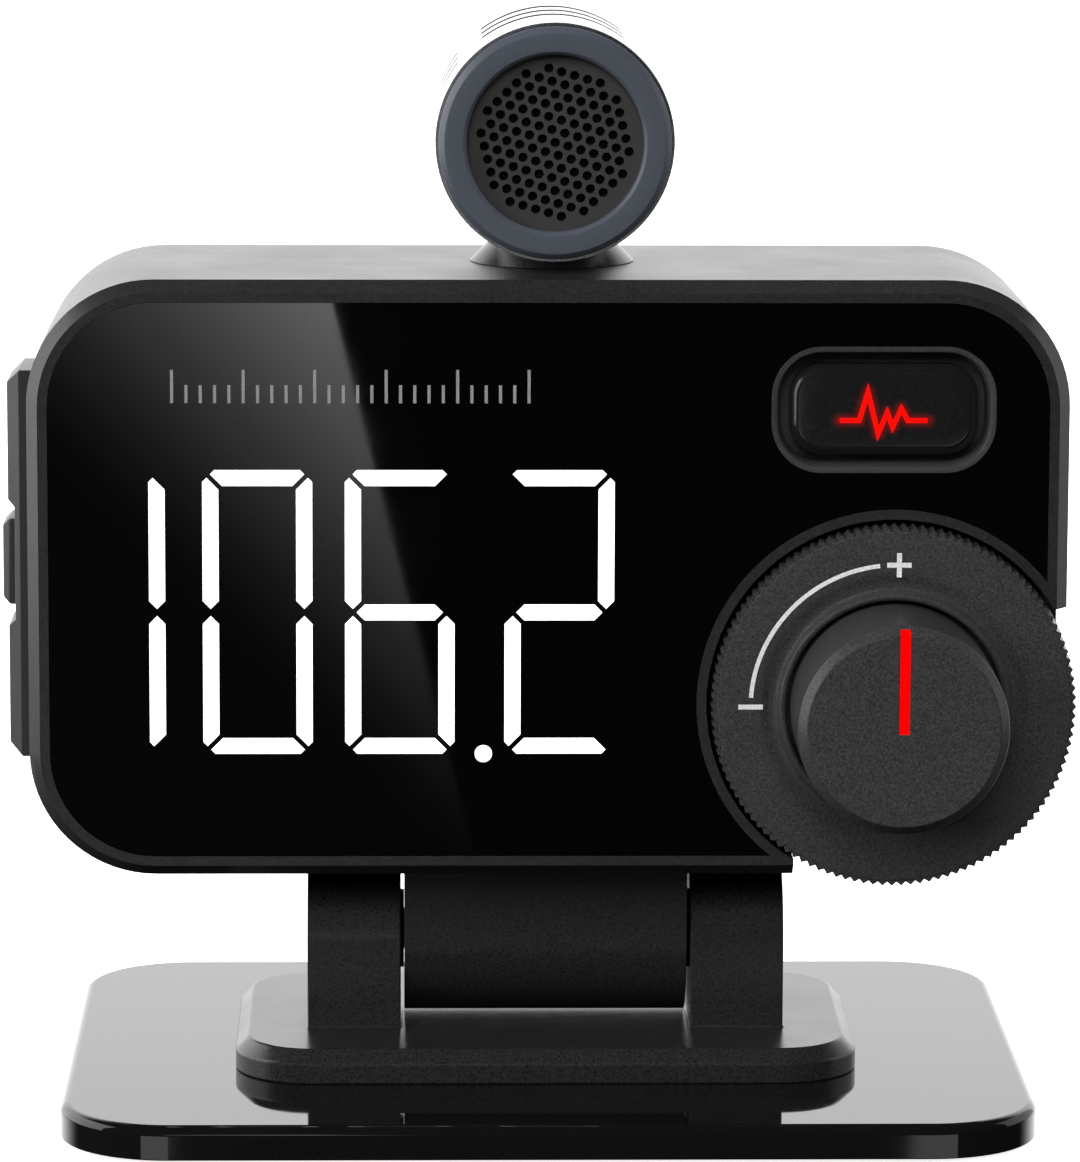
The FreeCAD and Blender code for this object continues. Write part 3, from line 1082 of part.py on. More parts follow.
# ---------------------------------------------------------------- microphone
def mic_pedestal():
    """Flared pedestal: its stem turns between the shells and its spigot holds the barrel."""
    low = HEAD_TOP + SWIVEL_GAP
    flare = cone_z(low, low + PEDESTAL_RISE, PEDESTAL_RADIUS, PEDESTAL_RADIUS - PEDESTAL_RISE, MIC_X, MIC_Y)
    flare = flare.cut(rod_y(MIC_FRONT - 1, MIC_REAR + 1, MIC_RADIUS + GLUE_FIT, MIC_X, MIC_Z))
    spigot_top = MIC_Z - MIC_RADIUS + SPIGOT_RISE
    stem = rod_z(HEAD_TOP - WALL - STEM_TAIL, spigot_top, STEM_RADIUS, MIC_X, MIC_Y)
    return join(flare, stem)


def mic_retaining_nut():
    """Nut on the stem, inside the head under its top wall."""
    high = HEAD_TOP - WALL - REAR_DRAFT - SWIVEL_GAP
    return rod_z(high - STEM_NUT_LENGTH, high, STEM_NUT_RADIUS, MIC_X, MIC_Y).cut(
        rod_z(high - STEM_NUT_LENGTH, high, STEM_RADIUS + GLUE_FIT, MIC_X, MIC_Y))


def vent_cutter(setback, middle_angle):
    """One curved vent slot through the barrel's wall."""
    y0 = MIC_FRONT + setback - VENT_WIDTH / 2
    ring = tube_y(y0, y0 + VENT_WIDTH, MIC_RADIUS + VENT_CUT_MARGIN, BARREL_BORE - VENT_CUT_MARGIN,
                  MIC_X, MIC_Z)
    corners = [(MIC_X, MIC_Z)]
    for share in (-1, -0.5, 0, 0.5, 1):
        angle = math.radians(middle_angle + share * VENT_HALF_ANGLE)
        corners.append((MIC_X + 2 * MIC_RADIUS * math.cos(angle), MIC_Z + 2 * MIC_RADIUS * math.sin(angle)))
    return ring.common(prism_y(corners, y0, y0 + VENT_WIDTH))


def mic_barrel():
    """Barrel with three rows of vent slots at the top and at each side."""
    barrel = tube_y(RING_BACK, BARREL_BACK, MIC_RADIUS, BARREL_BORE, MIC_X, MIC_Z)
    barrel = barrel.cut(rod_z(HEAD_TOP, MIC_Z, STEM_RADIUS + GLUE_FIT, MIC_X, MIC_Y))
    for setback in VENT_SETBACKS:
        for angle in VENT_MIDDLES:
            barrel = barrel.cut(vent_cutter(setback, angle))
    return barrel


def mic_front_ring():
    """Bevelled ring that clamps the grille."""
    ring = join(cone_y(MIC_FRONT, MIC_FRONT + RING_EDGE, RING_RADIUS - RING_EDGE, RING_RADIUS, MIC_X, MIC_Z),
                rod_y(MIC_FRONT + RING_EDGE, RING_BACK, RING_RADIUS, MIC_X, MIC_Z))
    return ring.cut(rod_y(MIC_FRONT, RING_BACK, RING_BORE, MIC_X, MIC_Z))


def mic_grille():
    """Grille plate behind the ring."""
    return rod_y(RING_BACK, GRILLE_BACK, BARREL_BORE - GLUE_FIT, MIC_X, MIC_Z)


def mic_foam():
    """Foam disc behind the grille."""
    return rod_y(GRILLE_BACK, FOAM_BACK, BARREL_BORE - FOAM_GAP, MIC_X, MIC_Z)


def mic_capsule():
    """Microphone capsule."""
    return rod_y(FOAM_BACK, FOAM_BACK + CAPSULE_LENGTH, CAPSULE_RADIUS, MIC_X, MIC_Z)


def capsule_boot():
    """Rubber boot that centres the capsule in the barrel."""
    return tube_y(FOAM_BACK, FOAM_BACK + BOOT_LENGTH, BARREL_BORE - GLUE_FIT, CAPSULE_RADIUS + GLUE_FIT,
                  MIC_X, MIC_Z)


def mic_rear_cap():
    """Cap that closes the barrel's rear, on a spigot."""
    spigot = rod_y(BARREL_BACK - REAR_CAP_SPIGOT, BARREL_BACK + WELD, BARREL_BORE - GLUE_FIT, MIC_X, MIC_Z)
    edge = REAR_CAP_LENGTH / 2
    disc = join(rod_y(BARREL_BACK, MIC_REAR - edge, MIC_RADIUS, MIC_X, MIC_Z),
                cone_y(MIC_REAR - edge, MIC_REAR, MIC_RADIUS, MIC_RADIUS - edge, MIC_X, MIC_Z))
    return join(spigot, disc)


PIECES = (
    adhesive_pad, base_plate, foot_screws, hinge_foot, hinge_bolt, hinge_nut, friction_washers,
    hinge_tongue, tongue_screws, front_housing, rear_cover, cover_screws,
    display_panel, digit_windows, display_module, display_board,
    main_board, board_screws, radio_module, power_inductor, smoothing_capacitors,
    board_connectors, board_cable, usb_socket, usb_blade, control_wheel, wheel_shaft, dual_encoder,
    knob_cap, knob_pointer, knob_shaft, knob_switch_plunger,
    button_trim, pulse_button_cap, pulse_icon, pulse_switch,
    side_rocker, side_key, key_board, side_switches,
    mic_pedestal, mic_retaining_nut, mic_barrel, mic_front_ring, mic_grille,
    mic_foam, mic_capsule, capsule_boot, mic_rear_cap,
)


def main():
    """Build each piece and write it to its own file."""
    os.makedirs("parts", exist_ok=True)
    shapes = {piece.__name__: piece() for piece in PIECES}
    for name, shape in shapes.items():
        volume = sum(solid.Volume for solid in shape.Solids)
        print(f"{name:22s} solids {len(shape.Solids):2d}  volume {volume:9.2f}  valid {shape.isValid()}")
        shape.exportStep(f"parts/{name}.step")


if __name__ == "__main__":
    main()
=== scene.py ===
"""Visual model of a dashboard radio transmitter: base, hinged head, display, dial, keys and microphone."""

import json
import logging
import math
from dataclasses import dataclass, replace
from enum import Enum
from typing import Iterable, Optional, Sequence

import bmesh
import bpy
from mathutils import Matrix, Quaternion, Vector

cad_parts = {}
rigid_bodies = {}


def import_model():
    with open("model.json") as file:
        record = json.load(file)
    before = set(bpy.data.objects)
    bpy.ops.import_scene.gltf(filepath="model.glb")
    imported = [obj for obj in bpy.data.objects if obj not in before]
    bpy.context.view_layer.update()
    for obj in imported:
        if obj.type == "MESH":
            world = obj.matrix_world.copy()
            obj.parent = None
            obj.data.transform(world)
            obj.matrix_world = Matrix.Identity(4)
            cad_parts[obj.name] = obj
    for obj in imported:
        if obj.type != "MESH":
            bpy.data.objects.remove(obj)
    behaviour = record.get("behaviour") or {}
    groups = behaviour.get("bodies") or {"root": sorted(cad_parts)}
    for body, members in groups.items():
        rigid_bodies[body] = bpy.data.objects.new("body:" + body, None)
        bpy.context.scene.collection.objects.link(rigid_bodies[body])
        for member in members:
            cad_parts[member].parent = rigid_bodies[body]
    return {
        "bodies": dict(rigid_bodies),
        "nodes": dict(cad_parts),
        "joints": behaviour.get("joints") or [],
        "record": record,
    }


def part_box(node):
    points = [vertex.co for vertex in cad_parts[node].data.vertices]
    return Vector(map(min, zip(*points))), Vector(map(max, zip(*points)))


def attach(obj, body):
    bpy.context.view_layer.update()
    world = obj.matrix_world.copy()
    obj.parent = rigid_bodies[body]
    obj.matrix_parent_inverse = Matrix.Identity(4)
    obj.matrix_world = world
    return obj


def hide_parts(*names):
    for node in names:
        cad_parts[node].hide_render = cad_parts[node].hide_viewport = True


LOG = logging.getLogger("transmitter")
Point2 = tuple[float, float]
Colour = tuple[float, float, float]

MM = 0.001
WELD = 0.0005 * MM                  # corners nearer than this are one corner
SHARP = math.radians(30.0)          # faces that meet at more than this show an edge
BEVELLED = math.radians(28.0)       # faces that meet at more than this get a rounding
FLAT = math.radians(0.05)           # faces that meet at less than this are one face
WHITE = (1.0, 1.0, 1.0)
PURE_RED = (1.0, 0.0, 0.0)
NEAR_BLACK = (0.004, 0.004, 0.004)


# ---------------------------------------------------------------- node trees
class NodeTree:
    """Short calls for adding nodes to any of Blender's node trees."""

    def __init__(self, tree: bpy.types.NodeTree) -> None:
        """Take the tree that nodes are added to."""
        self.tree = tree

    def feed(self, socket: bpy.types.NodeSocket, value: object) -> None:
        """Link an input to a socket, or set it to a value.

        Args:
            socket: the input.
            value: what feeds it.
        """
        if isinstance(value, bpy.types.NodeSocket):
            self.tree.links.new(value, socket)
        else:
            socket.default_value = value

    def node(self, kind: str, feeds: Optional[dict] = None, **settings: object) -> bpy.types.Node:
        """Add a node.

        Args:
            kind: the node's Blender type.
            feeds: input sockets, by name or number, and what feeds them: a socket or a value.
            settings: the node's own settings.

        Returns:
            The new node.
        """
        made = self.tree.nodes.new(kind)
        for label, value in settings.items():
            setattr(made, label, value)
        for label, value in (feeds or {}).items():
            self.feed(made.inputs[label], value)
        return made

    def maths(self, operation: str, *values: object) -> bpy.types.NodeSocket:
        """Return the result of a sum on sockets and numbers."""
        return self.node("ShaderNodeMath", dict(enumerate(values)), operation=operation).outputs[0]

    def ranged(self, value: bpy.types.NodeSocket, span: Point2, result: Point2, **settings: object
               ) -> bpy.types.NodeSocket:
        """Return a number moved from one span to another.

        Args:
            value: the number.
            span: the ends of the number's own span.
            result: what the result is at those ends.
            settings: the node's own settings.

        Returns:
            The result's socket.
        """
        ends = dict(zip(("From Min", "From Max", "To Min", "To Max"), (*span, *result)))
        return self.node("ShaderNodeMapRange", {"Value": value, **ends}, **settings).outputs["Result"]

    def axes(self, place: bpy.types.NodeSocket) -> bpy.types.NodeOutputs:
        """Return a vector's X, Y and Z."""
        return self.node("ShaderNodeSeparateXYZ", {0: place}).outputs


# ---------------------------------------------------------------- materials
NOISE_SPAN = (0.3, 0.7)
ACROSS = Vector((1.0, 0.0, 1.0))


class ShaderSheet(NodeTree):
    """A material's node tree with short calls for the patterns that the finishes share."""

    def __init__(self, name: str) -> None:
        """Start a material that holds one Principled shader.

        Args:
            name: the material's name.
        """
        self.material = bpy.data.materials.new(name)
        self.material.use_nodes = True
        super().__init__(self.material.node_tree)
        self.shader = self.tree.nodes["Principled BSDF"]

    def fix(self, **values: object) -> None:
        """Set some of the shader's inputs, named with underscores for spaces."""
        for label, value in values.items():
            self.drive(label.replace("_", " "), value)

    def drive(self, label: str, value: object) -> None:
        """Feed one of the shader's inputs."""
        self.feed(self.shader.inputs[label], value)

    def place(self) -> bpy.types.NodeSocket:
        """Return the Object coordinates that every pattern is laid on."""
        return self.node("ShaderNodeTexCoord").outputs["Object"]

    def noise(self, size: float, detail: float = 3.0, place: Optional[bpy.types.NodeSocket] = None
              ) -> bpy.types.NodeSocket:
        """Return noise whose features are about one size.

        Args:
            size: the features' size in millimetres.
            detail: the number of finer layers.
            place: coordinates to use in place of plain Object ones.

        Returns:
            The noise value's socket.
        """
        return self.node("ShaderNodeTexNoise", {"Vector": place or self.place(), "Scale": 1.0 / (size * MM),
                                                "Detail": detail, "Roughness": 0.6}).outputs["Fac"]

    def vary(self, label: str, value: bpy.types.NodeSocket, low: float, high: float) -> None:
        """Vary one of the shader's inputs with a noise.

        Args:
            label: the input's name.
            value: the noise.
            low: the input's value where the noise is low.
            high: its value where the noise is high.
        """
        self.drive(label, self.ranged(value, NOISE_SPAN, (low, high)))

    def vector_maths(self, operation: str, *values: object) -> bpy.types.NodeSocket:
        """Return the result of a sum on vectors: a vector, or a number where the operation gives one."""
        made = self.node("ShaderNodeVectorMath", dict(enumerate(values)), operation=operation)
        return made.outputs["Value" if operation in ("DOT_PRODUCT", "DISTANCE", "LENGTH") else "Vector"]

    def offset(self, x: float, z: float) -> bpy.types.NodeSocket:
        """Return where the surface lies from an axis along Y, as a vector without its Y."""
        away = self.vector_maths("SUBTRACT", self.place(), Vector((x, 0.0, z)))
        return self.vector_maths("MULTIPLY", away, ACROSS)

    def tint(self, value: bpy.types.NodeSocket, colour: Colour, dark: float, light: float) -> None:
        """Vary the shader's colour between two tones.

        Args:
            value: the noise that picks the tone.
            colour: the colour.
            dark: the tone at the noise's low end, as a factor on the colour.
            light: the tone at its high end.
        """
        ramp = self.node("ShaderNodeValToRGB", {"Fac": value})
        for stop, position, factor in zip(ramp.color_ramp.elements, NOISE_SPAN, (dark, light)):
            stop.position, stop.color = position, toned(colour, factor)
        self.drive("Base Color", ramp.outputs["Color"])

    def relief(self, value: bpy.types.NodeSocket, depth: float) -> None:
        """Raise the surface by a pattern.

        Args:
            value: the pattern's height from 0 to 1.
            depth: the height of 1, in millimetres.
        """
        bump = self.node("ShaderNodeBump", {"Height": value, "Strength": 1.0, "Distance": depth * MM})
        self.drive("Normal", bump.outputs["Normal"])


def toned(colour: Colour, factor: float = 1.0) -> tuple[float, float, float, float]:
    """Return a colour, made lighter or darker by one factor, as an opaque one."""
    return (*(channel * factor for channel in colour), 1.0)


@dataclass(frozen=True)
class Finish:
    """What every finish shares; each one lays its own pattern.

    Attributes:
        colour: the main colour.
    """

    colour: Colour

    def dress(self, sheet: ShaderSheet) -> None:
        """Lay the finish on a sheet."""
        raise NotImplementedError

    def build(self, name: str) -> bpy.types.Material:
        """Build the finish as a material.

        Args:
            name: the material's name.

        Returns:
            The material.
        """
        sheet = ShaderSheet(name)
        self.dress(sheet)
        return sheet.material


@dataclass(frozen=True)
class Moulding(Finish):
    """Moulded or painted surface with a fine grain.

    Lengths are in millimetres.

    Attributes:
        colour: the mean colour.
        roughness: the mean roughness.
        grain: the size of the grain.
        depth: the grain's height.
        specular: the shader's specular level.
        metallic: how metallic the surface is.
        speckle: how far the colour varies with the grain, as a share.
        patch: the size of the patches that differ in roughness.
    """

    roughness: float
    grain: float = 0.16
    depth: float = 0.004
    specular: float = 0.5
    metallic: float = 0.0
    speckle: float = 0.2
    patch: float = 9.0

    def dress(self, sheet: ShaderSheet) -> None:
        """Lay the finish on a sheet."""
        sheet.fix(Metallic=self.metallic, Specular_IOR_Level=self.specular)
        grain = sheet.noise(self.grain, 2.0)
        sheet.tint(grain, self.colour, 1 - self.speckle, 1 + self.speckle)
        sheet.vary("Roughness", sheet.noise(self.patch), self.roughness - 0.03, self.roughness + 0.03)
        sheet.relief(grain, self.depth)


@dataclass(frozen=True)
class Polish(Finish):
    """Polished surface with faint haze and the long waves of a moulding.

    Attributes:
        colour: the mean colour.
        roughness: the lowest roughness.
        specular: the shader's specular level.
        wave: height of the moulding's waves in millimetres.
    """

    roughness: float = 0.04
    specular: float = 0.5
    wave: float = 0.0004

    def dress(self, sheet: ShaderSheet) -> None:
        """Lay the finish on a sheet."""
        sheet.fix(Specular_IOR_Level=self.specular)
        haze = sheet.noise(6.0, 5.0)
        sheet.tint(haze, self.colour, 0.9, 1.1)
        sheet.vary("Roughness", haze, self.roughness, self.roughness + 0.03)
        sheet.relief(sheet.noise(5.0, 1.0), self.wave)


@dataclass(frozen=True)
class TurnedMetal(Finish):
    """Metal with fine marks that run one way.

    Attributes:
        colour: the metal's reflection colour.
        roughness: the mean roughness.
        lay: stretch of the marks along X, Y and Z; a small number makes them long that way.
        depth: the marks' height in millimetres.
        bore: (x, z, radius, start) in metres of a bore along Y, painted black inside from y = start on as
            painted shade that darkens the slots.
    """

    roughness: float
    lay: tuple[float, float, float] = (1.0, 1.0, 1.0)
    depth: float = 0.0015
    bore: Optional[tuple[float, float, float, float]] = None

    def dress(self, sheet: ShaderSheet) -> None:
        """Lay the finish on a sheet."""
        sheet.fix(Metallic=1.0)
        lay = sheet.node("ShaderNodeMapping", {"Vector": sheet.place(), "Scale": self.lay})
        marks = sheet.noise(0.12, 3.0, lay.outputs["Vector"])
        sheet.tint(marks, self.colour, 0.94, 1.0)
        # painted shade: where there is a bore, its inside is painted black
        if self.bore:
            self.paint_bore_shade(sheet, *self.bore)
        sheet.vary("Roughness", marks, self.roughness - 0.05, self.roughness + 0.05)
        sheet.relief(marks, self.depth)

    def paint_bore_shade(self, sheet: ShaderSheet, x: float, z: float, radius: float, start: float) -> None:
        """Paint everything nearer than a radius to an axis along Y black, from one plane on: painted shade
        inside the bore.

        Args:
            sheet: the material's sheet.
            x: the axis's x.
            z: the axis's z.
            radius: the radius of the painted bore.
            start: the y where the paint starts.
        """
        away = sheet.vector_maths("LENGTH", sheet.offset(x, z))
        bare = sheet.maths("MAXIMUM", sheet.maths("GREATER_THAN", away, radius),
                           sheet.maths("LESS_THAN", sheet.axes(sheet.place())["Y"], start))
        metal = sheet.shader.inputs["Base Color"].links[0].from_socket
        paint = sheet.node("ShaderNodeMix", {"Factor": bare, "A": toned(NEAR_BLACK), "B": metal},
                           data_type="RGBA")
        sheet.drive("Base Color", paint.outputs["Result"])


@dataclass(frozen=True)
class LitCap(Finish):
    """Dark cap that glows round the line symbol set in it.

    Lengths are in millimetres.

    Attributes:
        colour: the cap's colour.
        line: the symbol's corners as (x, z) from its middle.
        middle: the symbol's middle as (x, z) in metres.
        core: how far from the line the glow is at its full strength.
        reach: how far the glow goes.
        falloff: how steeply the glow dies away.
        strength: the glow's brightness at the line.
    """

    line: Sequence[Point2]
    middle: Point2
    core: float = 0.15
    reach: float = 0.8
    falloff: float = 2.4
    strength: float = 0.16

    def distance(self, sheet: ShaderSheet) -> bpy.types.NodeSocket:
        """Work out how far the surface is from the symbol.

        Args:
            sheet: the material's sheet.

        Returns:
            The distance from the nearest stroke.
        """
        nearest = None
        for start, end in zip(self.line, self.line[1:]):
            along = Vector(((end[0] - start[0]) * MM, 0.0, (end[1] - start[1]) * MM))
            offset = sheet.offset(self.middle[0] + start[0] * MM, self.middle[1] + start[1] * MM)
            share = sheet.vector_maths("DOT_PRODUCT", offset, along / along.length_squared)
            held = sheet.node("ShaderNodeClamp", {"Value": share}).outputs[0]
            foot = sheet.node("ShaderNodeVectorMath", {0: along, "Scale": held}, operation="SCALE")
            away = sheet.vector_maths("DISTANCE", offset, foot.outputs[0])
            nearest = away if nearest is None else sheet.maths("MINIMUM", nearest, away)
        return nearest

    def dress(self, sheet: ShaderSheet) -> None:
        """Lay the finish on a sheet."""
        sheet.fix(Specular_IOR_Level=1.0, Emission_Color=toned(PURE_RED))
        grain = sheet.noise(0.2, 2.0)
        sheet.tint(grain, self.colour, 0.8, 1.2)
        sheet.vary("Roughness", grain, 0.16, 0.24)
        sheet.relief(grain, 0.002)
        near = sheet.ranged(self.distance(sheet), (self.core * MM, self.reach * MM), (1.0, 0.0))
        sheet.drive("Emission Strength",
                    sheet.maths("MULTIPLY", sheet.maths("POWER", near, self.falloff), self.strength))


@dataclass(frozen=True)
class Lamp(Finish):
    """Light guide that glows, a little unevenly, as one lit from behind does.

    Attributes:
        colour: the light's colour.
        strength: the mean brightness.
        body: colour of the unlit plastic.
    """

    strength: float
    body: Colour

    def dress(self, sheet: ShaderSheet) -> None:
        """Lay the finish on a sheet."""
        sheet.fix(Roughness=0.45, Specular_IOR_Level=0.05, Emission_Color=toned(self.colour))
        cloud = sheet.noise(4.0, 2.0)
        sheet.tint(cloud, self.body, 0.95, 1.0)
        sheet.vary("Emission Strength", cloud, self.strength * 0.96, self.strength * 1.04)


@dataclass(frozen=True)
class Foam(Finish):
    """Open foam with cells.

    Attributes:
        colour: the mean colour.
        cell: the cells' size in millimetres.
        depth: the cells' depth in millimetres.
    """

    cell: float = 0.35
    depth: float = 0.05

    def dress(self, sheet: ShaderSheet) -> None:
        """Lay the finish on a sheet."""
        sheet.fix(Roughness=0.95, Specular_IOR_Level=0.2)
        cells = sheet.node("ShaderNodeTexVoronoi", {"Vector": sheet.place(), "Scale": 1.0 / (self.cell * MM)})
        sheet.tint(cells.outputs["Distance"], self.colour, 0.5, 1.3)
        sheet.relief(cells.outputs["Distance"], self.depth)


@dataclass(frozen=True)
class CircuitBoard(Finish):
    """Solder mask over copper, with copper runs that show as a faint lighter grid.

    Attributes:
        colour: the mask's colour.
        run: spacing of the copper runs in millimetres.
    """

    run: float = 2.5

    def dress(self, sheet: ShaderSheet) -> None:
        """Lay the finish on a sheet."""
        sheet.fix(Roughness=0.35)
        runs = sheet.node("ShaderNodeTexBrick", {
            "Vector": sheet.place(), "Scale": 1.0 / (self.run * MM), "Mortar Size": 0.08,
            "Color1": toned(self.colour), "Color2": toned(self.colour, 0.85),
            "Mortar": toned(self.colour, 1.8)})
        sheet.drive("Base Color", runs.outputs["Color"])
        sheet.relief(runs.outputs["Fac"], 0.02)


FINISHES = {
    "pad_foam": Foam((0.02, 0.02, 0.02)),
    "gloss_black": Polish((0.006, 0.006, 0.006), 0.03),
    "satin_black": Moulding((0.019, 0.019, 0.019), 0.25, 0.17, 0.008, speckle=0.45),
    "housing": Moulding((0.022, 0.022, 0.022), 0.33, 0.16, 0.008, speckle=0.45),
    "steel": TurnedMetal((0.62, 0.61, 0.60), 0.28),
    "dark_nylon": Moulding((0.008, 0.008, 0.008), 0.55),
    "panel": Polish((0.0010, 0.0010, 0.0010), 0.012, 0.5, 0.0001),
    "digit_light": Lamp((1.0, 1.0, 1.0), 1.1, (0.85, 0.85, 0.85)),
    "board": CircuitBoard((0.010, 0.075, 0.030)),
    "shield": TurnedMetal((0.70, 0.69, 0.66), 0.32, (1.0, 1.0, 0.08)),
    "cable_ribbon": Polish((0.62, 0.58, 0.50), 0.25, 0.4, 0.004),
    "dial": Moulding((0.044, 0.044, 0.044), 0.36, 0.17, 0.010, speckle=0.5),
    "red_inlay": Lamp((1.0, 0.0, 0.0), 0.85, (0.4, 0.0, 0.0)),
    "trim": Moulding((0.045, 0.045, 0.046), 0.33, 0.15, 0.006, speckle=0.3),
    "button_cap": Moulding((0.010, 0.010, 0.010), 0.24, 0.2, 0.002),
    "red_light": Lamp((1.0, 0.004, 0.002), 0.95, (0.4, 0.0, 0.0)),
    "key": Moulding((0.030, 0.030, 0.030), 0.38),
    "mic_metal": TurnedMetal((0.80, 0.81, 0.83), 0.30, (1.0, 0.05, 1.0), 0.001),
    "mic_ring": Moulding((0.074, 0.084, 0.104), 0.34, 0.12, 0.002, speckle=0.1),
    "grille": Moulding((0.060, 0.060, 0.059), 0.45, 0.1, 0.002, metallic=0.3),
    "foam": Foam((0.004, 0.004, 0.004), 0.25, 0.06),
    "rubber": Moulding((0.012, 0.012, 0.012), 0.7, 0.3, 0.01),
}
PRINT_INK = Moulding((0.86, 0.86, 0.86), 0.5, 0.08, 0.0008)
SCALE_INK = Moulding((0.30, 0.30, 0.31), 0.5, 0.08, 0.0008)
# Corners of the pulse symbol as (x, z) in millimetres from its middle.
PULSE_LINE = ((-3.18, -0.75), (-1.78, -0.75), (-1.18, 1.30), (-0.42, -1.70), (0.22, -0.19), (0.61, -1.23),
              (1.23, 0.10), (1.70, -0.75), (3.10, -0.75))


class Palette:
    """The built materials, one for each material slot of the record, and which slot each CAD node has."""

    def __init__(self, record: dict) -> None:
        """Build every finish.

        Args:
            record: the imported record.
        """
        self.slots = {entry["node"]: entry["material_slot"] for entry in record["subparts"]}
        self.built = {slot: finish.build(slot) for slot, finish in FINISHES.items()}

    def dress_nodes(self, nodes: dict[str, bpy.types.Object]) -> None:
        """Give every CAD node its slot's material.

        Args:
            nodes: the CAD nodes by name.
        """
        for name, node in nodes.items():
            node.data.materials.clear()
            node.data.materials.append(self.built[self.slots[name]])

    def of(self, node: str) -> bpy.types.Material:
        """Return the material of a CAD node's slot."""
        return self.built[self.slots[node]]


# ---------------------------------------------------------------- mesh making
@dataclass(frozen=True)
class Room:
    """The space that a CAD node takes up at rest.

    Attributes:
        low: its lowest corner.
        high: its highest corner.
    """

    low: Vector
    high: Vector

    @classmethod
    def of(cls, node: str) -> "Room":
        """Return the room of one CAD node."""
        return cls(*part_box(node))

    @property
    def centre(self) -> Vector:
        """Return the middle of the room."""
        return (self.low + self.high) / 2


def placed(name: str, data: bpy.types.ID) -> bpy.types.Object:
    """Put a new object in the scene.

    Args:
        name: its name.
        data: the mesh, light or camera that it holds.

    Returns:
        The object.
    """
    made = bpy.data.objects.new(name, data)
    bpy.context.scene.collection.objects.link(made)
    return made


def baked(carrier: bpy.types.Object, name: str) -> bpy.types.Mesh:
    """Keep what an object's modifiers make as a plain mesh, and remove the object.

    Args:
        carrier: the object.
        name: the mesh's name.

    Returns:
        The mesh.
    """
    mesh = bpy.data.meshes.new_from_object(carrier.evaluated_get(bpy.context.evaluated_depsgraph_get()))
    carrier.modifiers.clear()
    bpy.data.objects.remove(carrier)
    mesh.name = name
    return mesh


def shade(mesh: bpy.types.Mesh) -> None:
    """Shade a mesh smooth, apart from its sharp edges."""
    mesh.shade_smooth()
    mesh.set_sharp_from_angle(angle=SHARP)


def mesh_from(name: str, corners: Sequence[Vector], faces: Iterable[Sequence[int]]) -> bpy.types.Mesh:
    """Make a shaded mesh with outward faces.

    Args:
        name: the mesh's name.
        corners: its corners in metres.
        faces: its faces as corner numbers.

    Returns:
        The mesh.
    """
    mesh = bpy.data.meshes.new(name)
    mesh.from_pydata([tuple(c) for c in corners], [], [tuple(f) for f in faces])
    shape = bmesh.new()
    shape.from_mesh(mesh)
    bmesh.ops.remove_doubles(shape, verts=shape.verts, dist=WELD)
    bmesh.ops.recalc_face_normals(shape, faces=shape.faces)
    shape.to_mesh(mesh)
    shape.free()
    shade(mesh)
    return mesh


def skin(name: str, rings: Sequence[Sequence[Vector]], closed: bool = False) -> bpy.types.Mesh:
    """Join closed outlines of equal length, one after another, into a surface.

    Args:
        name: the mesh's name.
        rings: the outlines in order; one that shrinks to a point closes an end.
        closed: whether the last outline joins the first.

    Returns:
        The mesh.
    """
    count = len(rings[0])
    corners = [point for ring in rings for point in ring]
    faces = []
    for r in range(len(rings) if closed else len(rings) - 1):
        here, there = r * count, (r + 1) % len(rings) * count
        for i in range(count):
            j = (i + 1) % count
            faces.append((here + i, here + j, there + j, there + i))
    return mesh_from(name, corners, faces)


LONGEST_ROUNDING = 0.45             # a rounding takes at most this share of either line beside it


def softened(profile: Sequence[Point2], radius: float, closed: bool = False, steps: int = 3) -> list[Point2]:
    """Round the corners of a flat line.

    Args:
        profile: the line's corners.
        radius: how far from each corner its rounding starts.
        closed: whether the last corner joins the first.
        steps: points along each rounding, less one.

    Returns:
        The rounded line's points.
    """
    count = len(profile)
    line: list[Point2] = []
    for i, (x, y) in enumerate(profile):
        if not closed and i in (0, count - 1):
            line.append((x, y))
            continue
        corner = Vector((x, y))
        arms = [Vector(profile[i - 1]) - corner, Vector(profile[(i + 1) % count]) - corner]
        reach = min(radius, LONGEST_ROUNDING * min(arm.length for arm in arms))
        start, end = (corner + arm.normalized() * reach for arm in arms)
        for step in range(steps + 1):
            t = step / steps
            point = start * (1 - t) ** 2 + corner * 2 * t * (1 - t) + end * t ** 2
            line.append((point.x, point.y))
    return line


def turned(name: str, profile: Sequence[Point2], centre: Vector, steps: int) -> bpy.types.Mesh:
    """Turn a closed profile about an axis along Y, which makes a ring.

    Args:
        name: the mesh's name.
        profile: its points as (radius, y) in metres.
        centre: a point on the axis.
        steps: faces round the axis.

    Returns:
        The mesh.
    """
    turns = [2 * math.pi * i / steps for i in range(steps)]
    rings = [[Vector((centre.x + r * math.cos(t), y, centre.z + r * math.sin(t))) for t in turns]
             for r, y in profile]
    return skin(name, rings, True)


def rounded_outline(half_width: float, half_height: float, corner: float, steps: int = 12) -> list[Point2]:
    """Return the points of a rounded rectangle about the origin, starting at its right side.

    Args:
        half_width: half its width.
        half_height: half its height.
        corner: its corner radius.
        steps: faces round each corner.

    Returns:
        The outline's points.
    """
    points = []
    for quarter, (su, sv) in enumerate(((1, 1), (-1, 1), (-1, -1), (1, -1))):
        for step in range(steps + 1):
            angle = math.pi / 2 * (quarter + step / steps)
            points.append((su * (half_width - corner) + corner * math.cos(angle),
                           sv * (half_height - corner) + corner * math.sin(angle)))
    return points


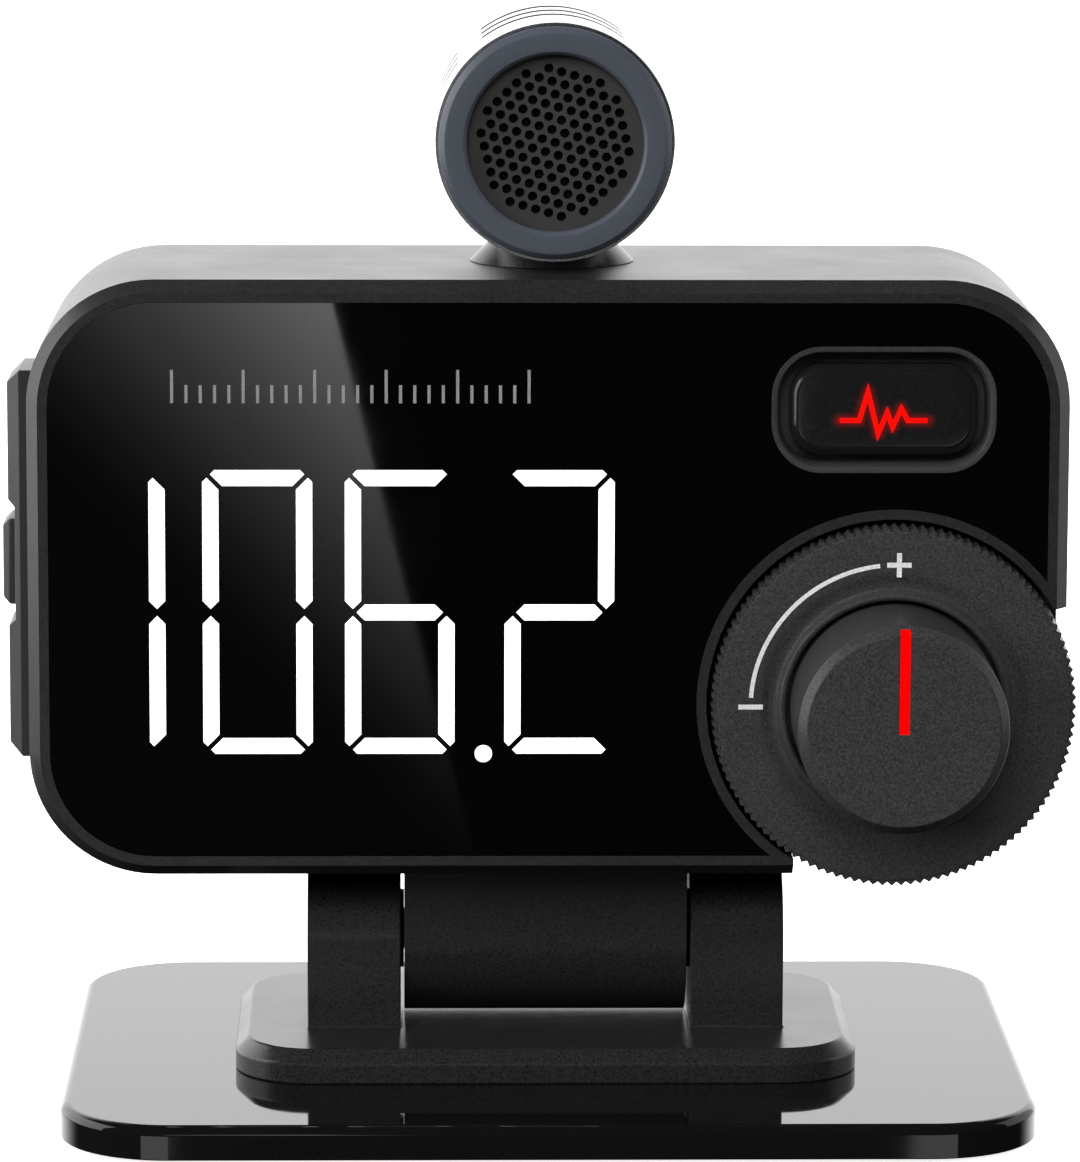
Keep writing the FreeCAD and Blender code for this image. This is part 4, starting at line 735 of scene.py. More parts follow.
def prism(name: str, outline: Sequence[Point2], front: float, back: float) -> bpy.types.Mesh:
    """Make a solid of one outline between two planes across Y.

    Args:
        name: the mesh's name.
        outline: its (x, z) corners.
        front: the front plane's y.
        back: the back plane's y.

    Returns:
        The mesh.
    """
    count = len(outline)
    corners = [Vector((x, y, z)) for y in (front, back) for x, z in outline]
    faces = [tuple(range(count)), tuple(range(count, 2 * count))]
    faces += [(i, (i + 1) % count, count + (i + 1) % count, count + i) for i in range(count)]
    return mesh_from(name, corners, faces)


def joined(name: str, meshes: Sequence[bpy.types.Mesh]) -> bpy.types.Mesh:
    """Put several meshes into one.

    Args:
        name: the whole mesh's name.
        meshes: the meshes, which are used up.

    Returns:
        The whole mesh.
    """
    shape = bmesh.new()
    for mesh in meshes:
        shape.from_mesh(mesh)
        bpy.data.meshes.remove(mesh)
    whole = bpy.data.meshes.new(name)
    shape.to_mesh(whole)
    shape.free()
    whole.set_sharp_from_angle(angle=SHARP)
    return whole


class Socket(Enum):
    """Kinds of input that a pattern's node tree takes."""

    LENGTH = "NodeSocketFloat"
    COUNT = "NodeSocketInt"
    PLACE = "NodeSocketVector"
    FINISH = "NodeSocketMaterial"


class Pattern(NodeTree):
    """A Geometry Nodes tree with named inputs, which ends in real, finished geometry."""

    def __init__(self, name: str, **inputs: Socket) -> None:
        """Start a tree.

        Args:
            name: the tree's name.
            inputs: the names and kinds of its inputs.
        """
        super().__init__(bpy.data.node_groups.new(name, "GeometryNodeTree"))
        self.identifiers = {}
        for label, kind in {**inputs, "finish": Socket.FINISH}.items():
            made = self.tree.interface.new_socket(label, in_out="INPUT", socket_type=kind.value)
            self.identifiers[label] = made.identifier
        self.tree.interface.new_socket("shape", in_out="OUTPUT", socket_type="NodeSocketGeometry")
        self.given = self.tree.nodes.new("NodeGroupInput").outputs

    def vector(self, x: object = 0.0, y: object = 0.0, z: object = 0.0) -> bpy.types.NodeSocket:
        """Return a vector made of sockets and numbers."""
        return self.node("ShaderNodeCombineXYZ", {0: x, 1: y, 2: z}).outputs[0]

    def moved(self, shape: bpy.types.NodeSocket, **change: object) -> bpy.types.NodeSocket:
        """Return a shape with a new Translation or Rotation."""
        return self.node("GeometryNodeTransform", {"Geometry": shape, **change}).outputs[0]

    def whole(self, *shapes: bpy.types.NodeSocket) -> bpy.types.NodeSocket:
        """Join several shapes.

        Args:
            shapes: the shapes, in order.

        Returns:
            The joined shape.
        """
        made = self.node("GeometryNodeJoinGeometry")
        for shape in shapes:
            self.feed(made.inputs[0], shape)
        return made.outputs[0]

    def scattered(self, points: bpy.types.NodeSocket, unit: bpy.types.NodeSocket,
                  turn: object = (0.0, 0.0, 0.0), scale: object = (1.0, 1.0, 1.0)) -> bpy.types.NodeSocket:
        """Put a copy of one shape on every point.

        Args:
            points: the points.
            unit: the shape.
            turn: each copy's rotation.
            scale: each copy's scale.

        Returns:
            The copies, as real geometry.
        """
        copies = self.node("GeometryNodeInstanceOnPoints",
                           {"Points": points, "Instance": unit, "Rotation": turn, "Scale": scale})
        return self.node("GeometryNodeRealizeInstances", {0: copies.outputs[0]}).outputs[0]

    def end(self, shape: bpy.types.NodeSocket) -> None:
        """Stand the pattern up, put it in its place and give it its finish.

        Args:
            shape: the pattern, made on the XY plane; its +Z side turns to the front.
        """
        stood = self.moved(shape, Translation=self.given["place"], Rotation=(math.pi / 2, 0.0, 0.0))
        real = self.node("GeometryNodeRealizeInstances", {0: stood})
        done = self.node("GeometryNodeSetMaterial",
                         {"Geometry": real.outputs[0], "Material": self.given["finish"]})
        self.node("NodeGroupOutput", {0: done.outputs[0]})

    def cast(self, name: str, **values: object) -> bpy.types.Mesh:
        """Run the tree and keep its result as a plain mesh.

        Args:
            name: the mesh's name.
            values: a value for each named input, and the finish.

        Returns:
            The mesh.
        """
        carrier = placed(name + "_carrier", bpy.data.meshes.new(name + "_carrier"))
        live = carrier.modifiers.new("pattern", "NODES")
        live.node_group = self.tree
        for label, value in values.items():
            live[self.identifiers[label]] = value
        return baked(carrier, name)


class Workshop:
    """Turns outlines and CAD nodes into finished pieces, and puts each on its body."""

    def __init__(self, frame: dict) -> None:
        """Take the loaded frame.
        """
        self.nodes = frame["nodes"]
        self.palette = Palette(frame["record"])
        self.palette.dress_nodes(self.nodes)

    def finish(self, mesh: bpy.types.Mesh, name: str, body: str, stands_for: Sequence[str] = (),
               ink: Optional[bpy.types.Material] = None, slot: str = "") -> None:
        """Make a piece from its mesh.

        Args:
            mesh: the mesh, in place.
            name: the piece's name.
            body: the CAD body that it rides on.
            stands_for: the CAD nodes that it replaces; the first one gives its slot.
            ink: a material to use in place of the slot's.
            slot: the material slot of a piece that replaces nothing.
        """
        piece = placed(name, mesh)
        slot = slot or self.palette.slots[stands_for[0]]
        mesh.materials.clear()
        mesh.materials.append(ink or self.palette.built[slot])
        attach(piece, body)
        if stands_for:
            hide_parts(*stands_for)
        LOG.info("%s rides on %s, %d faces", name, body, len(mesh.polygons))

    def rounded_copy(self, node: str, body: str, edge: float, steps: int = 2,
                     ink: Optional[bpy.types.Material] = None) -> None:
        """Copy a CAD node as a piece whose sharp edges are rounded.

        Args:
            node: the CAD node, which the piece replaces.
            body: the CAD body that it rides on.
            edge: the width of the rounding in millimetres.
            steps: faces across each rounding.
            ink: a material to use in place of the slot's.
        """
        rough = bpy.data.meshes.new(node + "_rough")
        shape = bmesh.new()
        shape.from_mesh(self.nodes[node].data)
        bmesh.ops.remove_doubles(shape, verts=shape.verts, dist=WELD)
        bmesh.ops.dissolve_limit(shape, angle_limit=FLAT, verts=shape.verts, edges=shape.edges)
        shape.to_mesh(rough)
        shape.free()
        shade(rough)
        carrier = placed(node + "_carrier", rough)
        bevel = carrier.modifiers.new("round", "BEVEL")
        bevel.width = edge * MM
        bevel.segments = steps
        bevel.limit_method = "ANGLE"
        bevel.angle_limit = BEVELLED
        bevel.miter_outer = "MITER_ARC"
        carrier.modifiers.new("flats", "WEIGHTED_NORMAL").keep_sharp = True
        mesh = baked(carrier, node + "_skin")
        bpy.data.meshes.remove(rough)
        self.finish(mesh, node + "_skin", body, [node], ink)


# ---------------------------------------------------------------- sub-assemblies
@dataclass
class Base:
    """Stick-on base: gloss plate, satin foot and the fixed half of the hinge.

    Lengths are in millimetres.

    Attributes:
        plate_edge: rounding of the plate's lower edge.
        foot_edge: rounding of the foot's and ears' edges.
        pad_edge: rounding of the foam pad.
    """

    plate_edge: float = 0.12
    foot_edge: float = 0.13
    pad_edge: float = 0.15

    def build(self, shop: Workshop) -> None:
        """Make the base's pieces.

        Args:
            shop: the workshop that finishes the pieces.
        """
        shop.rounded_copy("adhesive_pad", "base", self.pad_edge)
        shop.rounded_copy("base_plate", "base", self.plate_edge, 3)
        shop.rounded_copy("hinge_foot", "base", self.foot_edge, 3)
        shop.rounded_copy("hinge_bolt", "base", self.foot_edge)
        shop.rounded_copy("hinge_nut", "base", self.foot_edge)


@dataclass
class HeadShell:
    """Head's two shells, the tongue under them and the parts that show in the rear cover.

    Lengths are in millimetres.

    Attributes:
        bezel_edge: rounding of the front housing's edges.
        cover_edge: rounding of the rear cover's edges.
        tongue_edge: rounding of the tongue.
        inlet_edge: rounding of the inlet's lip.
    """

    bezel_edge: float = 0.06
    cover_edge: float = 0.12
    tongue_edge: float = 0.10
    inlet_edge: float = 0.05

    def build(self, shop: Workshop) -> None:
        """Make the head's outer pieces.

        Args:
            shop: the workshop that finishes the pieces.
        """
        shop.rounded_copy("front_housing", "head", self.bezel_edge, 2)
        shop.rounded_copy("rear_cover", "head", self.cover_edge, 3)
        shop.rounded_copy("hinge_tongue", "head", self.tongue_edge, 3)
        shop.rounded_copy("usb_socket", "head", self.inlet_edge)
        shop.rounded_copy("cover_screws", "head", self.inlet_edge)


@dataclass
class TuningScale:
    """Printed row of tuning ticks on the display panel.

    Lengths are in millimetres.

    Attributes:
        count: how many ticks.
        pitch: their spacing.
        stroke: their width.
        short: height of a short tick.
        every: which ticks are tall.
        tall: how many times taller those are.
        left: distance of the first tick from the panel's left edge.
        drop: distance of the ticks' feet from the panel's top.
        film: thickness of the print.
    """

    count: int = 26
    pitch: float = 1.02
    stroke: float = 0.22
    short: float = 1.3
    every: int = 5
    tall: float = 1.85
    left: float = 8.9
    drop: float = 7.2
    film: float = 0.015

    def pattern(self) -> Pattern:
        """Return the tree that lays ticks in a row, with every few of them taller."""
        made = Pattern("tuning_ticks", count=Socket.COUNT, pitch=Socket.LENGTH, stroke=Socket.LENGTH,
                       short=Socket.LENGTH, every=Socket.COUNT, tall=Socket.LENGTH, film=Socket.LENGTH,
                       place=Socket.PLACE)
        given = made.given
        row = made.node("GeometryNodeMeshLine",
                        {"Count": given["count"], "Offset": made.vector(given["pitch"])})
        index = made.node("GeometryNodeInputIndex").outputs[0]
        is_tall = made.maths("LESS_THAN", made.maths("MODULO", index, given["every"]), 0.5)
        height = made.maths("MULTIPLY_ADD", is_tall, made.maths("SUBTRACT", given["tall"], 1.0), 1.0)
        bar = made.node("GeometryNodeMeshCube", {"Size": made.vector(given["stroke"], given["short"],
                                                                     given["film"])})
        lift = made.vector(0.0, made.maths("MULTIPLY", given["short"], 0.5))
        lifted = made.moved(bar.outputs[0], Translation=lift)
        made.end(made.scattered(row.outputs[0], lifted, scale=made.vector(1.0, height, 1.0)))
        return made

    def build(self, shop: Workshop) -> None:
        """Print the ticks on the panel.

        Args:
            shop: the workshop that finishes the pieces.
        """
        panel = Room.of("display_panel")
        place = Vector((panel.low.x + self.left * MM, panel.low.y, panel.high.z - self.drop * MM))
        ink = SCALE_INK.build("scale_ink")
        mesh = self.pattern().cast("tuning_ticks", count=self.count, pitch=self.pitch * MM,
                                   stroke=self.stroke * MM, short=self.short * MM, every=self.every,
                                   tall=self.tall, film=2 * self.film * MM, place=place, finish=ink)
        shop.finish(mesh, "tuning_ticks", "head", ink=ink, slot="digit_light")


@dataclass
class ControlWheel:
    """Knurled wheel with a moat and a collar round the knob, and its printed marks.

    Lengths are in millimetres.

    Attributes:
        teeth: how many knurl teeth.
        tooth: their height.
        sink: how deep their feet stand in the wheel.
        chamfer: how far the teeth stop short of the wheel's faces.
        moat: outer radius of the moat round the collar.
        moat_floor: radius of its deepest ring.
        floor_in: how far the moat's floor reaches inwards from that radius.
        floor_out: how far it reaches outwards.
        moat_depth: its depth.
        collar: mean radius of the collar's top.
        collar_proud: its height over the face.
        collar_half: half the width of its flat top.
        collar_wall: height over the face where its inner wall starts to lean.
        recess: radius of the knob's recess.
        recess_depth: its depth under the face.
        rim: thickness of the rim behind the web.
        web: thickness of the web.
        hub: radius of the hub.
        bore: radius of the hub's bore.
        bevel: width of the bevel on the outer edges.
        soft: how far every corner of the profile is rounded.
        mark_radius: radius of the printed arc.
        mark_stroke: its line width.
        sign_length: length of the plus and minus bars.
        sign_stroke: their width.
        film: thickness of the print.
        gap: angle, in degrees, left between the arc and the plus sign.
        minus_gap: the angle left at the minus sign, as a share of that.
        plus_shift: how far right of the axis the plus sign stands.
    """

    teeth: int = 120
    tooth: float = 0.29
    sink: float = 0.1
    chamfer: float = 0.03
    moat: float = 9.7
    moat_floor: float = 8.75
    floor_in: float = 0.25
    floor_out: float = 0.2
    moat_depth: float = 0.22
    collar: float = 8.1
    collar_proud: float = 0.5
    collar_half: float = 0.12
    collar_wall: float = 0.35
    recess: float = 7.8
    recess_depth: float = 1.3
    rim: float = 2.2
    web: float = 1.4
    hub: float = 4.6
    bore: float = 3.02
    bevel: float = 0.12
    soft: float = 0.22
    mark_radius: float = 10.33
    mark_stroke: float = 0.31
    sign_length: float = 1.76
    sign_stroke: float = 0.36
    film: float = 0.015
    gap: float = 6.3
    minus_gap: float = 0.6
    plus_shift: float = 0.25

    def knurl(self) -> Pattern:
        """Return the tree that stands three-sided teeth round a circle."""
        made = Pattern("knurl", count=Socket.COUNT, valley=Socket.LENGTH, tooth=Socket.LENGTH,
                       sink=Socket.LENGTH, length=Socket.LENGTH, place=Socket.PLACE)
        given = made.given
        height = made.maths("ADD", given["tooth"], given["sink"])
        reach = made.maths("DIVIDE", height, 1.5)      # a triangle's corner lies at two thirds of its height
        start = made.maths("SUBTRACT", made.maths("ADD", given["valley"], given["tooth"]), reach)
        circle = made.node("GeometryNodeMeshCircle", {"Vertices": given["count"], "Radius": start})
        index = made.node("GeometryNodeInputIndex").outputs[0]
        step = made.maths("DIVIDE", 2 * math.pi, given["count"])
        turn = made.vector(0.0, 0.0, made.maths("MULTIPLY", index, step))
        half_pitch = made.maths("MULTIPLY", made.maths("MULTIPLY", given["valley"], step), 0.5)
        spread = made.maths("MULTIPLY", half_pitch, made.maths("DIVIDE", height, given["tooth"]))
        scale = made.vector(reach, made.maths("DIVIDE", spread, math.sin(math.pi / 3)), 1.0)
        tooth = made.node("GeometryNodeMeshCylinder",
                          {"Vertices": 3, "Radius": 1.0, "Depth": given["length"]})
        made.end(made.scattered(circle.outputs[0], tooth.outputs[0], turn, scale))
        return made

    def disc(self, face: float, back: float, outer: float, centre: Vector) -> bpy.types.Mesh:
        """Turn the wheel's body.

        Args:
            face: y of the front face in metres.
            back: y of the back in metres.
            outer: radius of the body under the teeth in metres.
            centre: a point on the axis.

        Returns:
            The mesh.
        """
        floor = face + self.recess_depth * MM
        web_back = floor + self.web * MM
        top, moat = face - self.collar_proud * MM, face + self.moat_depth * MM
        rim, bevel = outer - (self.rim - self.tooth) * MM, self.bevel * MM
        line = [(self.bore * MM, floor), (self.recess * MM, floor),
                (self.recess * MM, face - self.collar_wall * MM),
                (self.collar * MM - self.collar_half * MM, top),
                (self.collar * MM + self.collar_half * MM, top),
                (self.moat_floor * MM - self.floor_in * MM, moat),
                (self.moat_floor * MM + self.floor_out * MM, moat), (self.moat * MM, face),
                (outer - bevel, face), (outer, face + bevel), (outer, back - bevel), (outer - bevel, back),
                (rim, back), (rim, web_back), (self.hub * MM, web_back), (self.hub * MM, back),
                (self.bore * MM, back)]
        return turned("wheel_disc", softened(line, self.soft * MM, True, 4), centre, 180)

    def marks(self, face: float, centre: Vector) -> bpy.types.Mesh:
        """Make the printed arc with its plus and minus signs.

        Args:
            face: y of the wheel's front face in metres.
            centre: a point on its axis.

        Returns:
            The mesh.
        """
        front, back = face - self.film * MM, face + self.film * MM
        inner = (self.mark_radius - self.mark_stroke / 2) * MM
        outer = (self.mark_radius + self.mark_stroke / 2) * MM
        first, last, steps = math.radians(90 + self.gap), math.radians(180 - self.gap * self.minus_gap), 48
        turns = [first + (last - first) * i / steps for i in range(steps + 1)]
        arc = [(centre.x + outer * math.cos(t), centre.z + outer * math.sin(t)) for t in turns]
        arc += [(centre.x + inner * math.cos(t), centre.z + inner * math.sin(t)) for t in reversed(turns)]
        half, stroke = self.sign_length / 2 * MM, self.sign_stroke / 2 * MM
        left, top = centre.x - self.mark_radius * MM, centre.z + self.mark_radius * MM
        plus = [(stroke, half), (-stroke, half), (-stroke, stroke), (-half, stroke), (-half, -stroke),
                (-stroke, -stroke), (-stroke, -half), (stroke, -half), (stroke, -stroke), (half, -stroke),
                (half, stroke), (stroke, stroke)]
        minus = [(half, stroke), (-half, stroke), (-half, -stroke), (half, -stroke)]
        return joined("wheel_marks", [
            prism("arc", arc, front, back),
            prism("plus", [(centre.x + self.plus_shift * MM + u, top + v) for u, v in plus], front, back),
            prism("minus", [(left + u, centre.z + v) for u, v in minus], front, back)])

    def build(self, shop: Workshop) -> None:
        """Make the wheel and its marks.

        Args:
            shop: the workshop that finishes the pieces.
        """
        room = Room.of("control_wheel")
        centre = room.centre
        face, back = room.low.y + self.collar_proud * MM, room.high.y
        outer = (room.high.x - room.low.x) / 2 - self.tooth * MM
        length = back - face - 2 * self.chamfer * MM
        teeth = self.knurl().cast("knurl", count=self.teeth, valley=outer, tooth=self.tooth * MM,
                                  sink=self.sink * MM, length=length, finish=shop.palette.of("control_wheel"),
                                  place=Vector((centre.x, (face + back) / 2, centre.z)))
        wheel = joined("wheel", [self.disc(face, back, outer, centre), teeth])
        shop.finish(wheel, "wheel_body", "wheel", ["control_wheel"])
        shop.finish(self.marks(face, centre), "wheel_marks", "wheel", ink=PRINT_INK.build("print_ink"),
                    slot="digit_light")


@dataclass
class Knob:
    """Pointer knob.

    Attributes:
        edge: rounding of its edges in millimetres.
    """

    edge: float = 0.07

    def build(self, shop: Workshop) -> None:
        """Make the knob."""
        shop.rounded_copy("knob_cap", "knob", self.edge, 3)


@dataclass
class PulseButton:
    """Pulse button: a pillow cap on a stem inside an oval trim ring.

    Lengths are in millimetres.

    Attributes:
        band: width of the trim's front band.
        slope: how far the trim's inner wall leans in over its depth.
        shoulder: depth at which that wall turns steeper.
        shoulder_share: how much of the lean lies above it.
        well: depth of the trim's well.
        flange: how far the trim's flange reaches out behind the panel.
        flange_thickness: its thickness.
        trim_corner: the trim's corner radius.
        cap_inset: distance from the trim's outline to the cap's.
        chamfer: width of the cap's sloped edge.
        thickness: the cap's thickness.
        crown: how far in from the cap's outline its face is flat.
        stem: radius of the stem.
        stem_gap: clearance round the stem.
        sunk: how far the cap's face lies behind the symbol's.
    """

    band: float = 0.42
    slope: float = 0.30
    shoulder: float = 0.8
    shoulder_share: float = 0.6
    well: float = 2.1
    flange: float = 0.8
    flange_thickness: float = 0.7
    trim_corner: float = 3.6
    cap_inset: float = 1.3
    chamfer: float = 0.55
    thickness: float = 1.7
    crown: float = 2.0
    stem: float = 1.2
    stem_gap: float = 0.05
    sunk: float = 0.015

    def ring(self, centre: Vector, half: Vector, inset: float, corner: float, y: float) -> list[Vector]:
        """Return one rounded outline round the button's middle.

        Args:
            centre: the button's middle.
            half: half the trim's width and height.
            inset: how far inside the trim's outline it lies, in millimetres.
            corner: its corner radius in millimetres.
            y: the plane that it lies in.

        Returns:
            The outline's points.
        """
        points = rounded_outline(half.x - inset * MM, half.z - inset * MM, corner * MM)
        return [Vector((centre.x + u, y, centre.z + v)) for u, v in points]

    def opening(self, trim: Room) -> tuple[Vector, Vector]:
        """Return the button's middle, and half the size of the trim's band."""
        return trim.centre, (trim.high - trim.low) / 2 - Vector((self.flange, 0, self.flange)) * MM

    def circle(self, centre: Vector, radius: float, y: float, count: int) -> list[Vector]:
        """Return a circle of as many points as an outline has."""
        points = rounded_outline(radius * MM, radius * MM, radius * MM, count // 4 - 1)
        return [Vector((centre.x + u, y, centre.z + v)) for u, v in points]

    def trim_mesh(self, trim: Room, panel: Room) -> bpy.types.Mesh:
        """Make the trim ring with its flange, well and stem hole.

        Args:
            trim: the trim ring's room.
            panel: the display panel's room.

        Returns:
            The mesh.
        """
        centre, half = self.opening(trim)
        front, back, flange = trim.low.y, trim.high.y, panel.high.y
        well, flange_back = front + self.well * MM, flange + self.flange_thickness * MM
        line = [(0.0, flange), (0.0, front), (self.band, front),
                (self.band + self.slope * self.shoulder_share, front + self.shoulder * MM),
                (self.band + self.slope, well)]
        soft = [(-self.flange, flange)] + softened(line, 0.14, False, 4)
        rings = [self.ring(centre, half, inset, max(self.trim_corner - inset, 0.3), y) for inset, y in soft]
        count, hole = len(rings[0]), self.stem + self.stem_gap
        rings += [self.circle(centre, hole, well, count), self.circle(centre, hole, back, count),
                  self.ring(centre, half, 0.0, self.trim_corner, back),
                  self.ring(centre, half, 0.0, self.trim_corner, flange_back),
                  self.ring(centre, half, -self.flange, self.trim_corner + self.flange, flange_back)]
        return skin("trim_ring", rings, True)

    def cap_mesh(self, trim: Room, cap: Room) -> bpy.types.Mesh:
        """Make the cap with its stem.

        Args:
            trim: the trim ring's room.
            cap: the cap's room.

        Returns:
            The mesh.
        """
        centre, half = self.opening(trim)
        face = cap.low.y + self.sunk * MM
        back = cap.low.y + self.thickness * MM
        edge, rim = self.cap_inset, self.trim_corner - self.cap_inset
        line = softened([(edge, back), (edge, face + self.chamfer * MM), (edge + self.chamfer, face),
                         (edge + self.crown, face)], 0.16, False, 4)
        rings = [self.ring(centre, half, inset, max(rim - (inset - edge), 0.25), y) for inset, y in line]
        count = len(rings[0])
        top = [Vector((centre.x, face, centre.z))] * count
        root = [self.circle(centre, self.stem, y, count) for y in (cap.high.y, back)]
        return skin("cap", [[Vector((centre.x, cap.high.y, centre.z))] * count] + root + rings + [top])

    def build(self, shop: Workshop) -> None:
        """Make the trim and the cap.

        Args:
            shop: the workshop that finishes the pieces.
        """
        trim, cap, panel = Room.of("button_trim"), Room.of("pulse_button_cap"), Room.of("display_panel")
        shop.finish(self.trim_mesh(trim, panel), "trim_ring", "head", ["button_trim"])
        glow = LitCap(FINISHES["button_cap"].colour, PULSE_LINE, (trim.centre.x, trim.centre.z))
        shop.finish(self.cap_mesh(trim, cap), "button_cap", "pulse_button", ["pulse_button_cap"],
                    glow.build("lit_cap"))


@dataclass
class SideKeys:
    """Rocker bar and the small key in its saddle.

    Attributes:
        edge: rounding of their edges in millimetres.
    """

    edge: float = 0.12

    def build(self, shop: Workshop) -> None:
        """Make both keys."""
        shop.rounded_copy("side_rocker", "rocker", self.edge, 3)
        shop.rounded_copy("side_key", "middle_key", self.edge, 3)


@dataclass
class Microphone:
    """Microphone: slotted barrel, clamp ring, perforated grille over foam, rear cap and pedestal.

    Lengths are in millimetres.

    Attributes:
        pitch: spacing of the grille's holes.
        hole: their radius.
        field: radius of the perforated field.
        rows: rows of the lattice, which reach past the field on every side.
        lean: turn of the hole pattern in degrees.
        ring_bore: the clamp ring's bore radius.
        ring_lip: width of its inner bevel.
        ring_edge: width of its outer bevel.
        ring_soft: how far its corners are rounded.
        barrel_edge: rounding of the barrel's and slots' edges.
        pedestal_edge: rounding of the pedestal's edges.
        cap_edge: rounding of the rear cap's edges.
        skin_depth: how deep the barrel's bare metal goes before its painted shade inside starts.
        bare_lip: how far in from its front rim the barrel stays bare.
    """

    pitch: float = 0.96
    hole: float = 0.345
    field: float = 5.62
    rows: int = 17
    lean: float = -16.0
    ring_bore: float = 6.35
    ring_lip: float = 0.24
    ring_edge: float = 0.42
    ring_soft: float = 0.05
    barrel_edge: float = 0.02
    pedestal_edge: float = 0.08
    cap_edge: float = 0.12
    skin_depth: float = 0.03
    bare_lip: float = 2.0

    def perforation(self) -> Pattern:
        """Return the tree that drills a disc with holes on a honeycomb lattice."""
        made = Pattern("perforated_disc", radius=Socket.LENGTH, thickness=Socket.LENGTH, pitch=Socket.LENGTH,
                       hole=Socket.LENGTH, field=Socket.LENGTH, rows=Socket.COUNT, lean=Socket.LENGTH,
                       place=Socket.PLACE)
        given = made.given
        rows = given["rows"]
        points = made.node("GeometryNodeMeshLine", {"Count": made.maths("MULTIPLY", rows, rows),
                                                    "Offset": (0.0, 0.0, 0.0)})
        index = made.node("GeometryNodeInputIndex").outputs[0]
        middle = made.maths("DIVIDE", made.maths("SUBTRACT", rows, 1.0), 2.0)
        line = made.maths("FLOOR", made.maths("DIVIDE", index, rows))
        column = made.maths("SUBTRACT", made.maths("MODULO", index, rows), middle)
        odd = made.maths("MULTIPLY", made.maths("MODULO", line, 2.0), 0.5)
        x = made.maths("MULTIPLY", made.maths("ADD", column, odd), given["pitch"])
        rise = made.maths("MULTIPLY", given["pitch"], math.sqrt(0.75))
        y = made.maths("MULTIPLY", made.maths("SUBTRACT", line, middle), rise)
        laid = made.node("GeometryNodeSetPosition", {"Geometry": points.outputs[0],
                                                     "Position": made.vector(x, y)})
        place = made.node("GeometryNodeInputPosition").outputs[0]
        away = made.node("ShaderNodeVectorMath", {0: place}, operation="LENGTH").outputs["Value"]
        kept = made.node("GeometryNodeDeleteGeometry", {
            "Geometry": laid.outputs[0],
            "Selection": made.node("FunctionNodeCompare", {0: away, 1: given["field"]},
                                   operation="GREATER_THAN").outputs[0]})
        bore = made.node("GeometryNodeCurvePrimitiveCircle", {"Resolution": 16, "Radius": given["hole"]})
        holes = made.moved(made.scattered(kept.outputs[0], bore.outputs[0]),
                           Rotation=made.vector(0.0, 0.0, given["lean"]))
        rim = made.node("GeometryNodeCurvePrimitiveCircle", {"Resolution": 96, "Radius": given["radius"]})
        sheet = made.node("GeometryNodeFillCurve", {"Curve": made.whole(rim.outputs[0], holes)})
        walls = made.node("GeometryNodeExtrudeMesh", {
            "Mesh": sheet.outputs[0], "Offset Scale": given["thickness"], "Individual": False})
        back = made.node("GeometryNodeFlipFaces", {0: sheet.outputs[0]})
        plate = made.whole(walls.outputs[0], back.outputs[0])
        welded = made.node("GeometryNodeMergeByDistance", {"Geometry": plate, "Distance": 1e-6})
        made.end(welded.outputs[0])
        return made

    def build(self, shop: Workshop) -> None:
        """Make the microphone's outer pieces.

        Args:
            shop: the workshop that finishes the pieces.
        """
        grille, ring = Room.of("mic_grille"), Room.of("mic_front_ring")
        centre = grille.centre
        mesh = self.perforation().cast(
            "grille", radius=(grille.high.x - grille.low.x) / 2, thickness=grille.high.y - grille.low.y,
            pitch=self.pitch * MM, hole=self.hole * MM, field=self.field * MM, rows=self.rows,
            lean=math.radians(self.lean), place=Vector((centre.x, grille.high.y, centre.z)),
            finish=shop.palette.of("mic_grille"))
        shop.finish(mesh, "perforated_grille", "mic", ["mic_grille"])
        outer = (ring.high.x - ring.low.x) / 2
        lip, edge, bore = self.ring_lip * MM, self.ring_edge * MM, self.ring_bore * MM
        line = [(bore, ring.high.y), (bore, ring.low.y + lip), (bore + lip, ring.low.y),
                (outer - edge, ring.low.y), (outer, ring.low.y + edge), (outer, ring.high.y)]
        clamp = turned("clamp_ring", softened(line, self.ring_soft * MM, True), ring.centre, 128)
        shop.finish(clamp, "clamp_ring", "mic", ["mic_front_ring"])
        barrel = Room.of("mic_barrel")
        # the barrel's inside is painted black past bare_lip: painted shade that darkens its slots
        inner = (barrel.high.x - barrel.low.x) / 2 - self.skin_depth * MM
        bore = (barrel.centre.x, barrel.centre.z, inner, barrel.low.y + self.bare_lip * MM)
        metal = replace(FINISHES["mic_metal"], bore=bore)
        shop.rounded_copy("mic_barrel", "mic", self.barrel_edge, ink=metal.build("mic_metal_painted_bore_shade"))
        shop.rounded_copy("mic_pedestal", "mic", self.pedestal_edge)
        shop.rounded_copy("mic_rear_cap", "mic", self.cap_edge, 3)


